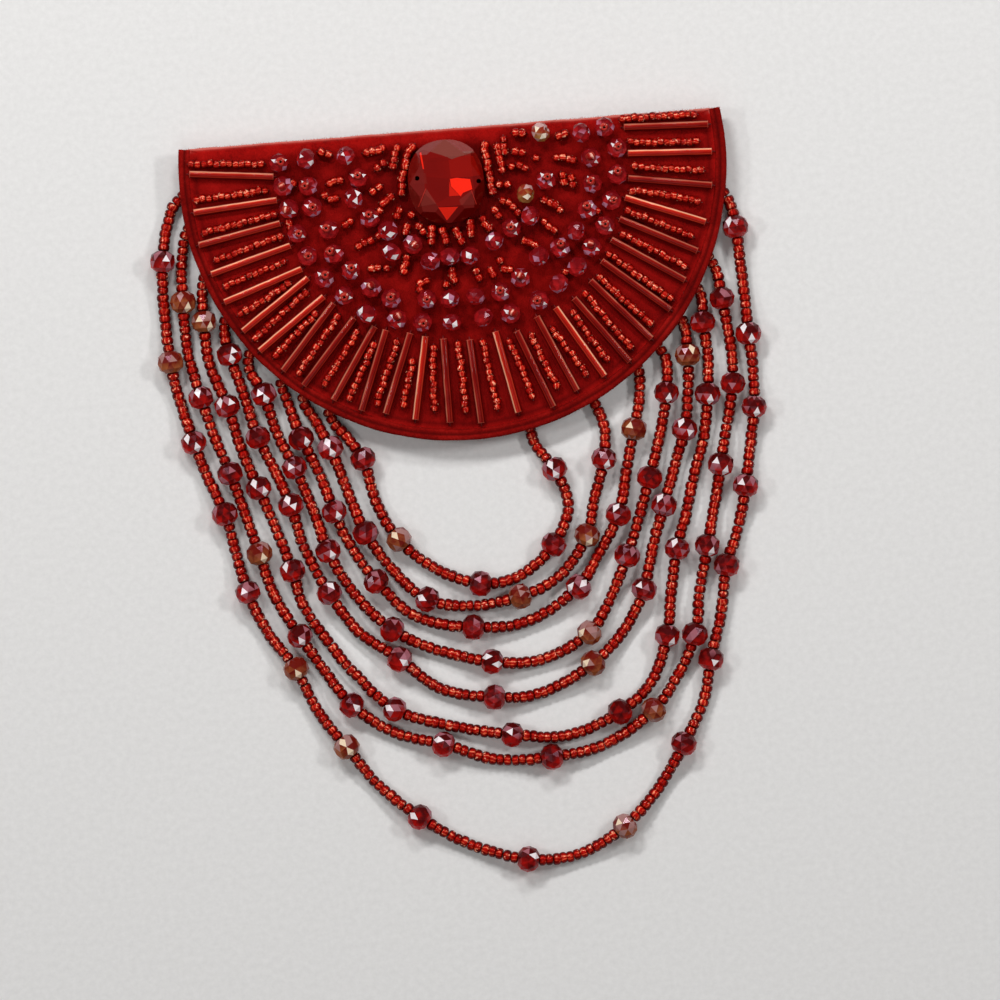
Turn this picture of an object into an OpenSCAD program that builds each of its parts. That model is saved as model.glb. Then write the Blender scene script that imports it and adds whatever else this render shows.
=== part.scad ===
// Beaded epaulette: a half-moon felt panel embroidered with glass beads, with eight strings of beads in
// swags below it. It lies face up. X runs along the straight top edge, Y from the swags to the top edge,
// Z up out of the face, and Z = 0 is the surface that it lies on. All sizes are in millimetres.

/* [Felt panel] */
// Radius of the panel's round edge
panel_r = 65; // [64.5:0.1:65.2]
// Height of the straight top edge above the centre of the round edge
panel_top = 9; // [8:0.5:10]
// Thickness of the backing felt
backing_t = 1.6; // [1:0.1:2]
// Thickness of the face cloth
cloth_t = 1.2; // [1:0.1:1.6]
// Width of the rolled felt edging
roll_w = 2.2; // [1.6:0.1:2.4]
// Height of the rolled felt edging above the backing felt
roll_t = 1.5; // [1.2:0.1:2]

/* [Beads on the panel] */
// Length of a bugle bead
bugle_len = 20; // [17:0.5:20.2]
// Outer diameter of a bugle bead
bugle_d = 1.7; // [1.4:0.1:1.8]
// Diameter of the hole through a bugle bead
bugle_hole_d = 0.7; // [0.5:0.1:0.9]
// Diameter of the small seed beads in the rows on the panel
seed_d = 1.6; // [1.2:0.1:1.7]
// Diameter of a crystal on the panel
crystal_d = 4.6; // [3.8:0.1:4.7]
// Height of a crystal on the panel
crystal_h = 3.6; // [3:0.1:4]
// Diameter of the sewing thread
thread_d = 0.6; // [0.4:0.1:0.8]

/* [Centre stone] */
// Width of the stone, along the top edge
stone_w = 18; // [16:0.5:18]
// Length of the stone, across the top edge
stone_l = 19.8; // [18:0.2:20]
// Height of the stone
stone_h = 6; // [5:0.5:7]
// Diameter of its two sewing holes
stone_hole_d = 1.2; // [0.8:0.1:1.4]

/* [Strings of beads] */
// Diameter of the seed beads on the strings
string_d = 2.9; // [2.4:0.1:2.9]
// Diameter of the faceted rondelles on the strings
rondelle_d = 6; // [5:0.1:6]
// Width of a rondelle along its string
rondelle_w = 4.8; // [4:0.1:5]

/* [Hidden] */
ROUND = 48;
PANEL_ROUND = 192;
LAYER_GAP = 0.1;
STRING_GAP = 0.3;
STRING_SIDES = 8;
STONE_SIDES = 16;
RONDELLE = 1;

// The centre of the panel's round edge, and the middle of the stone
panel_at = [1.5, 79.5];
stone_at = [-0.3, 76];

// A crystal's flat round its hole and its girdle, as shares of its diameter and height. The sewing thread
// between two crystals starts this far from their middles.
crystal_flat = 0.28;
crystal_girdle = 0.16;
thread_start = 0.8;

// The stone's outline is widest at the girdle and smaller at its underside and at its top facet. The corner
// power makes it a rounded square: 2 would be an ellipse. The sewing holes lie beside the middle.
stone_corner = 2.5;
stone_under = 0.94;
stone_top = 0.5;
stone_girdle = 0.3;
stone_edge = 0.3;
stone_face = 0.1;
stone_hole_at = [7.2, -0.6];

// A rondelle's profile along the string: the end faces and the girdle, as shares of its width and radius
rondelle_end = 0.7;
rondelle_girdle = 0.4;

// Heights of the layers: the panel rests on the ends of the strings, which lie between it and the surface
back_z = string_d + STRING_GAP;
cloth_z = back_z + backing_t + LAYER_GAP;
beads_z = cloth_z + cloth_t + LAYER_GAP;
cloth_r = panel_r - roll_w - LAYER_GAP;

bugle_names = [for (i = [1:28]) str("bugle_", i < 10 ? "0" : "", i)];
strand_names = [for (i = [1:8]) str("strand_", i)];

// Bugle beads, from the top left round to the top right: the outer end, then the end that it points to
bugles = [
    [-60.9, 82.6, -42.5, 80.6], [-60.6, 73.4, -40.6, 74.8], [-60.0, 65.6, -40.6, 69.2],
    [-57.6, 58.5, -39.0, 63.6], [-55.0, 51.6, -36.8, 57.8], [-51.2, 44.4, -35.9, 55.0],
    [-47.6, 39.4, -31.8, 50.8], [-42.4, 34.3, -29.6, 48.8], [-37.8, 30.4, -25.2, 44.8],
    [-31.0, 26.4, -20.0, 42.9], [-24.6, 23.4, -17.5, 41.6], [-18.9, 22.2, -11.8, 40.4],
    [-12.0, 20.2, -8.1, 39.8], [-3.9, 18.9, -3.9, 39.2], [3.5, 18.2, 2.3, 38.4],
    [12.5, 20.0, 8.6, 39.5], [20.9, 20.7, 13.8, 38.8], [26.8, 24.1, 19.1, 41.4],
    [33.6, 27.0, 23.2, 44.3], [39.8, 30.0, 27.5, 46.4], [45.4, 35.0, 31.8, 50.2],
    [50.4, 41.5, 34.4, 54.9], [54.4, 48.2, 36.7, 59.9], [57.9, 54.9, 39.4, 64.3],
    [60.4, 61.6, 41.9, 68.8], [62.6, 70.2, 42.9, 73.4], [63.2, 78.2, 43.1, 79.3],
    [62.8, 84.7, 41.9, 85.6]];

// Rows of small seed beads beside the bugles, in the same order: the outer end, then the inner end
rays = [
    [-61.0, 84.9, -43.0, 83.6], [-60.4, 76.4, -42.6, 77.5], [-59.0, 68.4, -41.0, 71.6],
    [-56.6, 61.6, -40.0, 66.4], [-55.0, 55.2, -39.5, 60.2], [-52.0, 48.2, -39.0, 55.1],
    [-49.0, 42.0, -35.0, 52.8], [-44.5, 37.5, -33.2, 47.5], [-39.2, 33.0, -28.0, 46.5],
    [-33.2, 30.0, -23.8, 42.5], [-27.7, 26.1, -20.2, 39.4], [-21.1, 24.3, -14.6, 39.6],
    [-14.8, 23.4, -11.4, 34.6], [-7.3, 21.8, -6.4, 37.5], [0.0, 21.0, -0.7, 37.9],
    [7.9, 21.0, 5.4, 37.9], [16.2, 22.9, 11.4, 37.5], [22.4, 25.0, 16.8, 38.6],
    [29.6, 27.4, 21.8, 39.6], [34.8, 30.4, 27.0, 43.2], [40.7, 32.9, 30.4, 47.5],
    [45.9, 38.2, 33.8, 51.0], [51.2, 43.8, 36.5, 56.3], [55.2, 51.2, 40.0, 60.6],
    [57.2, 58.2, 41.5, 65.9], [59.5, 66.5, 43.0, 70.6], [61.0, 73.8, 44.0, 76.2],
    [60.3, 80.8, 43.5, 82.0], [60.3, 87.4, 42.0, 87.6]];

// Short rows of seed beads round the stone and between the crystals: one end, then the other
sprays = [
    [-11.0, 85.5, -12.7, 80.0], [-7.3, 85.4, -9.5, 82.4], [-10.2, 79.5, -11.3, 73.5],
    [-11.6, 70.8, -12.6, 68.0], [-7.2, 67.0, -7.9, 65.4], [-4.5, 65.7, -4.7, 61.5],
    [-1.9, 64.8, -1.5, 62.0], [0.9, 64.6, 2.3, 61.8], [4.5, 65.8, 4.7, 62.4], [7.4, 66.4, 9.0, 64.4],
    [10.2, 68.4, 12.0, 66.9], [12.0, 70.8, 15.8, 68.4], [9.3, 84.7, 10.5, 72.0],
    [12.4, 84.0, 13.2, 77.0], [13.6, 74.8, 14.6, 73.2], [16.5, 78.7, 19.2, 77.2],
    [15.8, 82.0, 19.0, 81.6], [16.4, 86.2, 19.2, 86.0], [27.0, 84.7, 29.0, 84.9],
    [-29.4, 85.3, -27.4, 84.7], [-19.4, 84.3, -15.0, 84.3], [-28.6, 77.8, -24.8, 78.2],
    [-28.4, 74.0, -26.2, 74.1], [-18.6, 74.7, -15.4, 76.4], [-17.0, 80.0, -15.8, 81.3],
    [-25.6, 67.4, -23.0, 68.2], [-23.0, 62.3, -18.6, 63.9], [-20.3, 57.0, -17.4, 57.2],
    [-16.0, 71.4, -13.2, 73.8], [-12.2, 55.8, -10.8, 58.0], [-9.0, 51.9, -6.2, 53.4],
    [-0.5, 54.9, -0.2, 52.3], [5.4, 54.4, 6.0, 52.2], [8.2, 54.6, 9.4, 52.5], [10.8, 57.4, 12.0, 55.6],
    [16.8, 60.8, 19.0, 60.0], [22.2, 64.6, 24.4, 62.2], [22.0, 70.2, 26.4, 67.0],
    [26.0, 79.6, 30.0, 79.0], [27.6, 76.0, 28.2, 73.2]];

// Crystals along each half ring, from the top left round to the top right
outer_ring = [
    [-39.5, 83.6], [-39.0, 78.0], [-38.0, 72.5], [-36.5, 66.5], [-34.5, 61.0], [-31.0, 55.5],
    [-26.5, 51.0], [-21.5, 46.2], [-14.5, 44.4], [-8.5, 43.2], [-1.5, 42.6], [6.0, 43.2], [12.5, 43.6],
    [19.5, 46.2], [24.5, 49.8], [29.2, 53.4], [33.0, 57.8], [36.5, 62.6], [38.5, 68.5], [40.4, 74.5],
    [40.8, 80.8], [38.2, 85.9]];
middle_ring = [
    [-33.0, 84.0], [-33.0, 77.5], [-32.5, 72.5], [-29.0, 66.8], [-28.2, 61.0], [-24.5, 56.8],
    [-20.0, 52.3], [-15.5, 49.4], [-7.0, 48.6], [-1.5, 48.2], [4.5, 48.3], [10.5, 48.9], [15.5, 51.8],
    [20.3, 56.6], [25.5, 58.2], [29.5, 61.9], [32.5, 66.8], [34.3, 72.8], [34.5, 79.0], [32.6, 85.0]];
inner_ring = [
    [-23.5, 84.0], [-21.0, 78.5], [-22.5, 73.8], [-19.0, 68.8], [-15.0, 65.5], [-14.5, 60.3],
    [-9.3, 61.8], [-5.5, 57.4], [-0.8, 58.2], [4.0, 58.0], [10.0, 61.0], [14.3, 63.8], [19.0, 66.3],
    [18.3, 71.6], [23.4, 74.5], [23.0, 85.9]];

// Routes of the strings, from the left end under the panel to the right end, as X, Y and what is there:
// 0 is a plain stretch of seed beads and 1 is a point where a rondelle sits
strand_1 = [
    [-57, 80, 0], [-64.5, 76.5, 0], [-67.4, 70.5, 0], [-69, 62.5, 1], [-69.6, 51, 0], [-69, 38.5, 1],
    [-67.4, 28.5, 0], [-65, 19, 1], [-62.4, 10.5, 0], [-59, 1.5, 1], [-57.2, -7.5, 0], [-55, -17.5, 1],
    [-51, -27.5, 0], [-45, -36.5, 1], [-40.8, -46.8, 0], [-34.5, -56, 1], [-28, -65.2, 0],
    [-18.5, -74, 1], [-7.5, -81.2, 0], [6.5, -86, 1], [18.5, -85.8, 0], [30, -80, 1], [39, -71.2, 0],
    [45.5, -61.5, 1], [51, -51.8, 0], [53.5, -42, 1], [56.8, -31.5, 0], [59, -20, 1], [62.6, -11, 0],
    [65, -1.5, 1], [66.8, 7.5, 0], [68.5, 17, 1], [69, 25.5, 0], [68.5, 34.5, 1], [68.2, 47, 0],
    [67.4, 60, 1], [66.3, 66.5, 0], [63, 71.5, 0], [57.5, 74.5, 0]];
strand_2 = [
    [-56, 72, 0], [-62, 70, 0], [-64.4, 62.5, 0], [-64.9, 52.5, 1], [-64.8, 41, 0], [-62.5, 29.5, 1],
    [-60.2, 20.5, 0], [-57, 11, 1], [-54.2, 1.2, 0], [-51.5, -8.5, 1], [-48.8, -18.8, 0],
    [-43.5, -28.8, 1], [-38, -38, 0], [-32.5, -46.2, 1], [-23.2, -53.4, 0], [-11.5, -57.2, 1],
    [1, -61.8, 0], [14, -62.2, 1], [27, -60.2, 0], [39, -53, 1], [45.4, -45.2, 0], [50.2, -35.8, 1],
    [52.2, -25.5, 0], [54.8, -15, 1], [57.3, -5.5, 0], [59.5, 4, 1], [61.8, 13.5, 0], [63.9, 23, 1],
    [64, 33, 0], [62.9, 43.3, 1], [61.7, 51, 0], [57.5, 57.5, 0]];
strand_3 = [
    [-54, 64, 0], [-58.2, 60.5, 0], [-60.1, 55.5, 0], [-60.3, 47.5, 1], [-59.9, 37.8, 0],
    [-56.4, 27, 1], [-54, 17, 0], [-50.5, 7, 1], [-47.2, -3, 0], [-44, -13.2, 1], [-42.2, -21.5, 0],
    [-37.6, -29.6, 0], [-31.5, -38.4, 0], [-22.4, -48, 1], [-9.5, -52.9, 0], [5, -56.2, 1],
    [18, -57.4, 0], [31, -52.8, 1], [39, -46.2, 0], [43.6, -35.6, 1], [45.4, -25.5, 0],
    [47.6, -15.2, 1], [50.4, -7, 0], [53, 2, 0], [56.2, 11.5, 0], [57.7, 20.9, 1], [58.5, 29.5, 0],
    [57.9, 38, 1], [57.8, 45, 0], [53.5, 51, 0]];
strand_4 = [
    [-50, 53.5, 0], [-54.2, 49.5, 0], [-55.7, 45.4, 0], [-54.9, 39.2, 1], [-52.3, 29.5, 0],
    [-49.7, 19, 1], [-46.4, 11, 0], [-43.2, 2.4, 1], [-41, -7.5, 0], [-35.7, -19.2, 1],
    [-29.6, -28.8, 0], [-20.3, -36.2, 1], [-11, -44, 0], [1.5, -47, 1], [13, -46.8, 0],
    [25.5, -40.8, 1], [33.2, -33.8, 0], [39, -24.2, 1], [41.8, -14.5, 0], [45.3, -4.6, 1],
    [48.6, 4.5, 0], [51.6, 13, 1], [53.1, 21.8, 0], [53.7, 30.5, 1], [53.3, 38, 0], [49.5, 44.5, 0]];
strand_5 = [
    [-45.5, 44, 0], [-49.3, 40.4, 0], [-50.6, 36, 0], [-47.5, 29.2, 1], [-45.1, 19.6, 0],
    [-41.6, 11.2, 1], [-38.3, 2, 0], [-35.2, -9.2, 1], [-29.8, -19.8, 0], [-21.5, -29, 1],
    [-11, -34.8, 0], [1.6, -38.5, 1], [13, -39, 0], [25.2, -33.5, 1], [31.4, -24.8, 0],
    [35.6, -15.9, 1], [39, -7.5, 0], [42.4, 2.2, 1], [45.6, 12, 0], [48, 22, 1], [48.3, 30.5, 0],
    [43.5, 37, 0]];
strand_6 = [
    [-40, 37.5, 0], [-43.2, 32.2, 0], [-41.9, 26.4, 0], [-39.5, 18, 1], [-35.9, 9.5, 0], [-33, 0, 1],
    [-30, -8, 0], [-24.4, -17.3, 1], [-15.5, -26.4, 0], [-2.2, -30, 1], [11, -29.6, 0],
    [23.5, -22.4, 1], [29, -14.8, 0], [34.3, -6, 1], [37, 4, 0], [39.6, 14, 1], [41.6, 22, 0],
    [41.6, 28.8, 0], [38, 34.5, 0]];
strand_7 = [
    [-34.6, 32.8, 0], [-38.2, 27.6, 0], [-35.9, 22.2, 0], [-32.7, 15.2, 1], [-29.6, 5, 0],
    [-26, -5.6, 1], [-20.6, -14.4, 0], [-12.6, -22.5, 1], [-2.5, -24.9, 0], [9.5, -23.6, 1],
    [19, -19.6, 0], [26.5, -10.3, 1], [29, -1.5, 0], [31.9, 7.5, 1], [32.6, 15.4, 0], [30.4, 21.5, 0],
    [27, 27.5, 0]];
strand_8 = [
    [-31, 28.4, 0], [-32.3, 23, 0], [-28.7, 17.6, 0], [-25.2, 12, 1], [-22.9, 1.5, 0], [-18.2, -7.8, 1],
    [-10, -15.4, 0], [0.3, -19.8, 1], [9.5, -18.8, 0], [18.4, -11.9, 1], [22.6, -2.8, 0], [20, 6, 1],
    [15.8, 12.5, 0], [14.8, 18, 0], [14.6, 22.5, 0]];
strands = [strand_1, strand_2, strand_3, strand_4, strand_5, strand_6, strand_7, strand_8];

// Outline of a half-moon sheet with the panel's centre and top edge
module half_moon(r) {
    translate(panel_at) intersection() {
        circle(r = r, $fn = PANEL_ROUND);
        translate([-2 * r, -2 * r]) square([4 * r, 2 * r + panel_top]);
    }
}

module backing_felt() {
    color("firebrick") translate([0, 0, back_z]) linear_extrude(backing_t) half_moon(panel_r);
}

module face_cloth() {
    color("darkred") translate([0, 0, cloth_z]) linear_extrude(cloth_t) half_moon(cloth_r);
}

// The edging is a flat-bottomed roll that runs round the arc from one end of the top edge to the other
module rolled_edge() {
    end_angle = asin(panel_top / panel_r);
    color("brown") translate([panel_at[0], panel_at[1], cloth_z])
        rotate([0, 0, -180 - end_angle])
            rotate_extrude(angle = 180 + 2 * end_angle, $fn = PANEL_ROUND)
                translate([panel_r - roll_w / 2, 0])
                    intersection() {
                        translate([0, roll_t - roll_w / 2]) circle(d = roll_w, $fn = ROUND);
                        translate([-roll_w, 0]) square([2 * roll_w, roll_t]);
                    }
}

// A plain round bar laid on the face cloth from one point to another, for a row of seed beads
module seed_row(row) {
    from = [row[0], row[1]];
    run = [row[2], row[3]] - from;
    translate([from[0], from[1], beads_z + seed_d / 2])
        rotate([0, 90, atan2(run[1], run[0])])
            cylinder(h = norm(run), d = seed_d, $fn = ROUND);
}

module seed_rays() {
    color("orangered") for (row = rays) seed_row(row);
}

module seed_sprays() {
    color("orangered") for (row = sprays) seed_row(row);
}

// A bored glass tube that starts at its outer end and points to its inner end
module bugle(place) {
    run = [place[2] - place[0], place[3] - place[1]];
    color("red") translate([place[0], place[1], beads_z + bugle_d / 2])
        rotate([0, 90, atan2(run[1], run[0])])
            difference() {
                cylinder(h = bugle_len, d = bugle_d, $fn = ROUND);
                translate([0, 0, -1]) cylinder(h = bugle_len + 2, d = bugle_hole_d, $fn = ROUND);
            }
}

// A cut crystal standing on its hole: two cones and a narrow girdle
module crystal() {
    flat_r = crystal_d * crystal_flat;
    girdle_h = crystal_h * crystal_girdle;
    cone_h = (crystal_h - girdle_h) / 2;
    rotate_extrude($fn = ROUND)
        polygon([[0, 0], [flat_r, 0], [crystal_d / 2, cone_h], [crystal_d / 2, cone_h + girdle_h],
                 [flat_r, crystal_h], [0, crystal_h]]);
}

// The sewing thread lies flat on the cloth between two crystals and ends inside them
module thread_between(from, to) {
    run = to - from;
    translate(from) rotate([0, 0, atan2(run[1], run[0])])
        translate([thread_start, -thread_d / 2, 0])
            cube([norm(run) - 2 * thread_start, thread_d, thread_d]);
}

module crystal_ring(ring) {
    translate([0, 0, beads_z]) {
        for (place = ring) translate([place[0], place[1], 0]) crystal();
        for (i = [0 : len(ring) - 2]) thread_between(ring[i], ring[i + 1]);
    }
}

module crystals_outer() {
    color("crimson") crystal_ring(outer_ring);
}

module crystals_middle() {
    color("crimson") crystal_ring(middle_ring);
}

module crystals_inner() {
    color("crimson") crystal_ring(inner_ring);
}

// The stone's outline as a ring of straight facets, at a share of its full size
function stone_outline(share) = [for (k = [0 : STONE_SIDES - 1])
    let (a = 360 * (k + 0.5) / STONE_SIDES, across = abs(cos(a)), along = abs(sin(a)),
         bulge = pow(pow(across, stone_corner) + pow(along, stone_corner), -1 / stone_corner))
    [stone_w / 2 * bulge * cos(a), stone_l / 2 * bulge * sin(a)] * share];

module centre_stone() {
    color("red") translate([stone_at[0], stone_at[1], beads_z])
        difference() {
            hull() {
                linear_extrude(stone_face) polygon(stone_outline(stone_under));
                translate([0, 0, stone_h * stone_girdle])
                    linear_extrude(stone_edge) polygon(stone_outline(1));
                translate([0, 0, stone_h - stone_face])
                    linear_extrude(stone_face) polygon(stone_outline(stone_top));
            }
            for (side = [-1, 1])
                translate([side * stone_hole_at[0], side * stone_hole_at[1], -1])
                    cylinder(h = stone_h + 2, d = stone_hole_d, $fn = ROUND);
        }
}

// A string's route is swept as one closed solid: rings of points stand square across the route and are
// joined by triangles. A ring is its centre, its heading and its radius.
function heading(route, i) =
    let (before = route[max(i - 1, 0)], after = route[min(i + 1, len(route) - 1)],
         run = [after[0] - before[0], after[1] - before[1]])
    run / norm(run);

function height_of(point) = point[2] == RONDELLE ? rondelle_d / 2 : string_d / 2;
function place_of(point) = [point[0], point[1], height_of(point)];

// A rondelle's profile: distance along the string from its middle, and radius there
rondelle_profile = [
    [-rondelle_w / 2, string_d / 2], [-rondelle_w / 2, rondelle_end * rondelle_d / 2],
    [-rondelle_w * rondelle_girdle / 2, rondelle_d / 2], [rondelle_w * rondelle_girdle / 2, rondelle_d / 2],
    [rondelle_w / 2, rondelle_end * rondelle_d / 2], [rondelle_w / 2, string_d / 2]];

function rings_at(route, i) =
    let (point = route[i], along = heading(route, i), middle = place_of(point))
    point[2] == RONDELLE
        ? [for (step = rondelle_profile)
              [middle + step[0] * [along[0], along[1], 0], along, step[1]]]
        : [[middle, along, string_d / 2]];

// One ring halfway to the next point, on a curve that leaves and arrives along the headings
function ring_between(route, i) =
    let (from = place_of(route[i]), to = place_of(route[i + 1]), run = to - from,
         out = heading(route, i), in = heading(route, i + 1), span = norm([run[0], run[1]]),
         bow = [out[0] - in[0], out[1] - in[1], 0] * span / 8,
         turn = 1.5 * [run[0], run[1]] / span - 0.25 * (out + in))
    [(from + to) / 2 + bow, turn / norm(turn), string_d / 2];

function rings_of(route) = [for (i = [0 : len(route) - 1])
    each i < len(route) - 1 ? concat(rings_at(route, i), [ring_between(route, i)]) : rings_at(route, i)];

// The sides are flat above, below and beside the string, so a rondelle lies on a flat
function points_of(ring) = [for (k = [0 : STRING_SIDES - 1])
    let (a = 360 * (k + 0.5) / STRING_SIDES, reach = ring[2] / cos(180 / STRING_SIDES))
    [ring[0][0] - ring[1][1] * reach * cos(a),
     ring[0][1] + ring[1][0] * reach * cos(a),
     ring[0][2] + reach * sin(a)]];

module swept_string(route) {
    rings = rings_of(route);
    last = (len(rings) - 1) * STRING_SIDES;
    polyhedron(
        points = [for (ring = rings) each points_of(ring)],
        faces = concat(
            [[for (k = [0 : STRING_SIDES - 1]) k]],
            [for (j = [0 : len(rings) - 2], k = [0 : STRING_SIDES - 1])
                let (a = j * STRING_SIDES + k, b = j * STRING_SIDES + (k + 1) % STRING_SIDES)
                each [[a, a + STRING_SIDES, b], [b, a + STRING_SIDES, b + STRING_SIDES]]],
            [[for (k = [STRING_SIDES - 1 : -1 : 0]) last + k]]));
}

module strand(route) {
    color("red") swept_string(route);
}

backing_felt();
face_cloth();
rolled_edge();
centre_stone();
seed_rays();
seed_sprays();
crystals_outer();
crystals_middle();
crystals_inner();
for (i = [0 : len(bugles) - 1]) bugle(bugles[i]);
for (i = [0 : len(strands) - 1]) strand(strands[i]);
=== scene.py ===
# Beaded epaulette: a half-moon felt panel covered with glass beads, and eight strings of beads in
# swags below it. It lies face up on a pale surface. Sizes and charts are in millimetres, in the frame
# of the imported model, and every mesh is made in metres.
import bmesh
import bpy
import math
import numpy as np
from mathutils import Matrix, noise


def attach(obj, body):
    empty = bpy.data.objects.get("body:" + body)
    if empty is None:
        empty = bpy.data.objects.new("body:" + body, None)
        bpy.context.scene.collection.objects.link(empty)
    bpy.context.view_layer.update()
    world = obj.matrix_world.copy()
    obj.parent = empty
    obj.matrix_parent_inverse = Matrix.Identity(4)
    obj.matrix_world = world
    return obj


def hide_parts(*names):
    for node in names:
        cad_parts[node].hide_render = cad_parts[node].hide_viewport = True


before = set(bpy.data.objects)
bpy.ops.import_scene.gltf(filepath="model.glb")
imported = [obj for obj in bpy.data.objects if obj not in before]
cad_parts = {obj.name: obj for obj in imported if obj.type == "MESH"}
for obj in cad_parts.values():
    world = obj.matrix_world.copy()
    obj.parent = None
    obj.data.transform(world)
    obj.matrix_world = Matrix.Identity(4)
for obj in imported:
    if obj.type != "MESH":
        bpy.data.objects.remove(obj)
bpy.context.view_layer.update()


# Backing felt.
# The stiff wool felt that carries the whole piece: a half moon cut with scissors, 1.6 mm thick, with a
# soft cut edge all round. The panel lies on the ends of the strings, which are sewn to its back.
MM = 0.001
PANEL_AT = (1.5, 79.5)
PANEL_R = 65.0
PANEL_TOP = 9.0
BACK_Z = 3.2
BACKING_T = 1.6
# The rings of a sheet's mesh close in on this place, as shares of the way from it to the edge.
SHEET_MIDDLE = np.array([PANEL_AT[0], 68.0])
TOP_RINGS = (0.06, 0.14, 0.22, 0.3, 0.38, 0.46, 0.54, 0.62, 0.69, 0.76, 0.82, 0.87, 0.91, 0.94, 0.965, 0.98)
BACK_RINGS = (0.97, 0.9, 0.8, 0.65, 0.5, 0.35, 0.2, 0.08)
# The cut edge: how far in from the outline, how far down as a share of the thickness, and how much
# of the paler top edge colour is painted there, for open wool and a painted highlight.
CUT_EDGE = ((0.5, 0.0, 0.1), (0.28, 0.03, 0.6), (0.1, 0.12, 1.0), (0.0, 0.3, 1.0), (-0.04, 0.5, 1.0),
            (0.0, 0.7, 0.8), (0.12, 0.9, 0.3), (0.4, 1.0, 0.0))
# The paler colour of the cut top edge: open wool, with a painted highlight where light catches it.
CUT_EDGE_HIGHLIGHT = (0.62, 0.15, 0.12)
FLUFF = 0.05


def half_moon_edge(radius, step, waver):
    """Points round a half moon, anticlockwise from its right-hand top corner along the top edge and
    back by the arc. The scissors waver by about so much."""
    corner = math.asin(PANEL_TOP / radius)
    half = radius * math.cos(corner)
    across = int(2 * half / step)
    points = []
    for i in range(across):
        x = half - 2 * half * i / across
        off = noise.noise((x * 0.11, 3.1, radius)) + 0.4 * noise.noise((x * 0.5, 8.2, radius))
        points.append((x, PANEL_TOP + waver * off))
    sweep = math.pi + 2 * corner
    round_it = int(radius * sweep / step)
    for i in range(round_it):
        a = math.pi - corner + sweep * i / round_it
        r = radius + waver * noise.noise((math.cos(a) * 6, math.sin(a) * 6, radius))
        points.append((r * math.cos(a), r * math.sin(a)))
    return np.array(points) + PANEL_AT


def inward(edge):
    """The inward direction at each point of an anticlockwise outline."""
    along = np.roll(edge, -1, axis=0) - np.roll(edge, 1, axis=0)
    along /= np.linalg.norm(along, axis=1)[:, None]
    return np.stack([-along[:, 1], along[:, 0]], axis=1)


def place_in_scene(name, mesh):
    """An object that holds a mesh."""
    made = bpy.data.objects.new(name, mesh)
    bpy.context.scene.collection.objects.link(made)
    return made


def piece_from(name, points, faces, smooth=True):
    """A mesh object from points in millimetres."""
    mesh = bpy.data.meshes.new(name)
    mesh.from_pydata((np.asarray(points, float) * MM).tolist(), [], [tuple(f) for f in faces])
    mesh.validate()
    mesh.polygons.foreach_set("use_smooth", [smooth] * len(mesh.polygons))
    return place_in_scene(name, mesh)


def keep(mesh, word, values, where="POINT"):
    """Keeps a number for each point or face of a mesh, which its finish reads by that word."""
    values = np.asarray(values, np.float32).reshape(-1)
    mesh.attributes.new(word, "FLOAT", where).data.foreach_set("value", values)


def felt_sheet(name, edge, low, high, surface):
    """A closed sheet inside an outline. Its cut edge is rounded, and surface(x, y) lifts its upper
    side. Along the straight top, its cut edge keeps a share of a paler colour: the open wool, with a
    painted highlight where the light catches it."""
    turn = inward(edge)
    start = edge + turn * CUT_EDGE[0][0] - SHEET_MIDDLE
    rings = [(SHEET_MIDDLE + start * share, high) for share in TOP_RINGS]
    rings += [(edge + turn * inset, high - (high - low) * drop) for inset, drop, wool in CUT_EDGE]
    rings += [(SHEET_MIDDLE + start * share, low) for share in BACK_RINGS]
    lifted = len(TOP_RINGS) + 4
    count = len(edge)
    points = [(*SHEET_MIDDLE, high + surface(*SHEET_MIDDLE))]
    for k, (ring, z) in enumerate(rings):
        for x, y in ring:
            lift = surface(x, y) if k < lifted else 0.0
            points.append((x, y, z + lift + FLUFF * noise.noise((x * 1.7, y * 1.7, z))))
    points.append((*SHEET_MIDDLE, low))
    last = 1 + (len(rings) - 1) * count
    faces = []
    for i in range(count):
        j = (i + 1) % count
        faces.append((0, 1 + i, 1 + j))
        faces.append((len(points) - 1, last + j, last + i))
        faces += [(a + i, a + count + i, a + count + j, a + j) for a in range(1, last, count)]
    made = piece_from(name, points, faces)
    # The share of the paler top edge colour, open wool and painted highlight, at each point.
    wool = [0.0] * len(TOP_RINGS) + [wool for inset, drop, wool in CUT_EDGE] + [0.0] * len(BACK_RINGS)
    at_top = np.array([y > PANEL_AT[1] + PANEL_TOP - 1 for x, y, z in points])
    keep(made.data, "cut", np.concatenate([[0.0], np.repeat(wool, count), [0.0]]) * at_top)
    return made


def finish_of(name, **sockets):
    """A new material, with plain values set on its shader's own sockets."""
    made = bpy.data.materials.new(name)
    made.use_nodes = True
    for socket, value in sockets.items():
        feed(made, made.node_tree.nodes["Principled BSDF"].inputs[socket.replace("_", " ")], value)
    return made


def feed(made, socket, value):
    """Sets an input to a plain value or colour, or links it to the output of another node."""
    if isinstance(value, bpy.types.NodeSocket):
        made.node_tree.links.new(value, socket)
    else:
        socket.default_value = (*value, 1) if isinstance(value, tuple) else value


def add_node(made, kind, numbered=(), **settings):
    """A node of a material. Its inputs go by name, or in numbered by their order, and its own
    settings by name."""
    node = made.node_tree.nodes.new("ShaderNode" + kind)
    for key, value in settings.items():
        if key in node.inputs:
            feed(made, node.inputs[key], value)
        else:
            setattr(node, key, value)
    for number, value in dict(numbered).items():
        feed(made, node.inputs[number], value)
    return node


def own_place(made):
    """Each point's place on the object, for the textures to follow."""
    return add_node(made, "TexCoord").outputs["Object"]


def kept(made, word):
    """The number that the mesh keeps by a word."""
    return add_node(made, "Attribute", attribute_name=word).outputs["Fac"]


def speckle(made, place, scale, **settings):
    """A fine random texture."""
    return add_node(made, "TexNoise", Vector=place, Scale=scale, **settings).outputs["Fac"]


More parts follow.
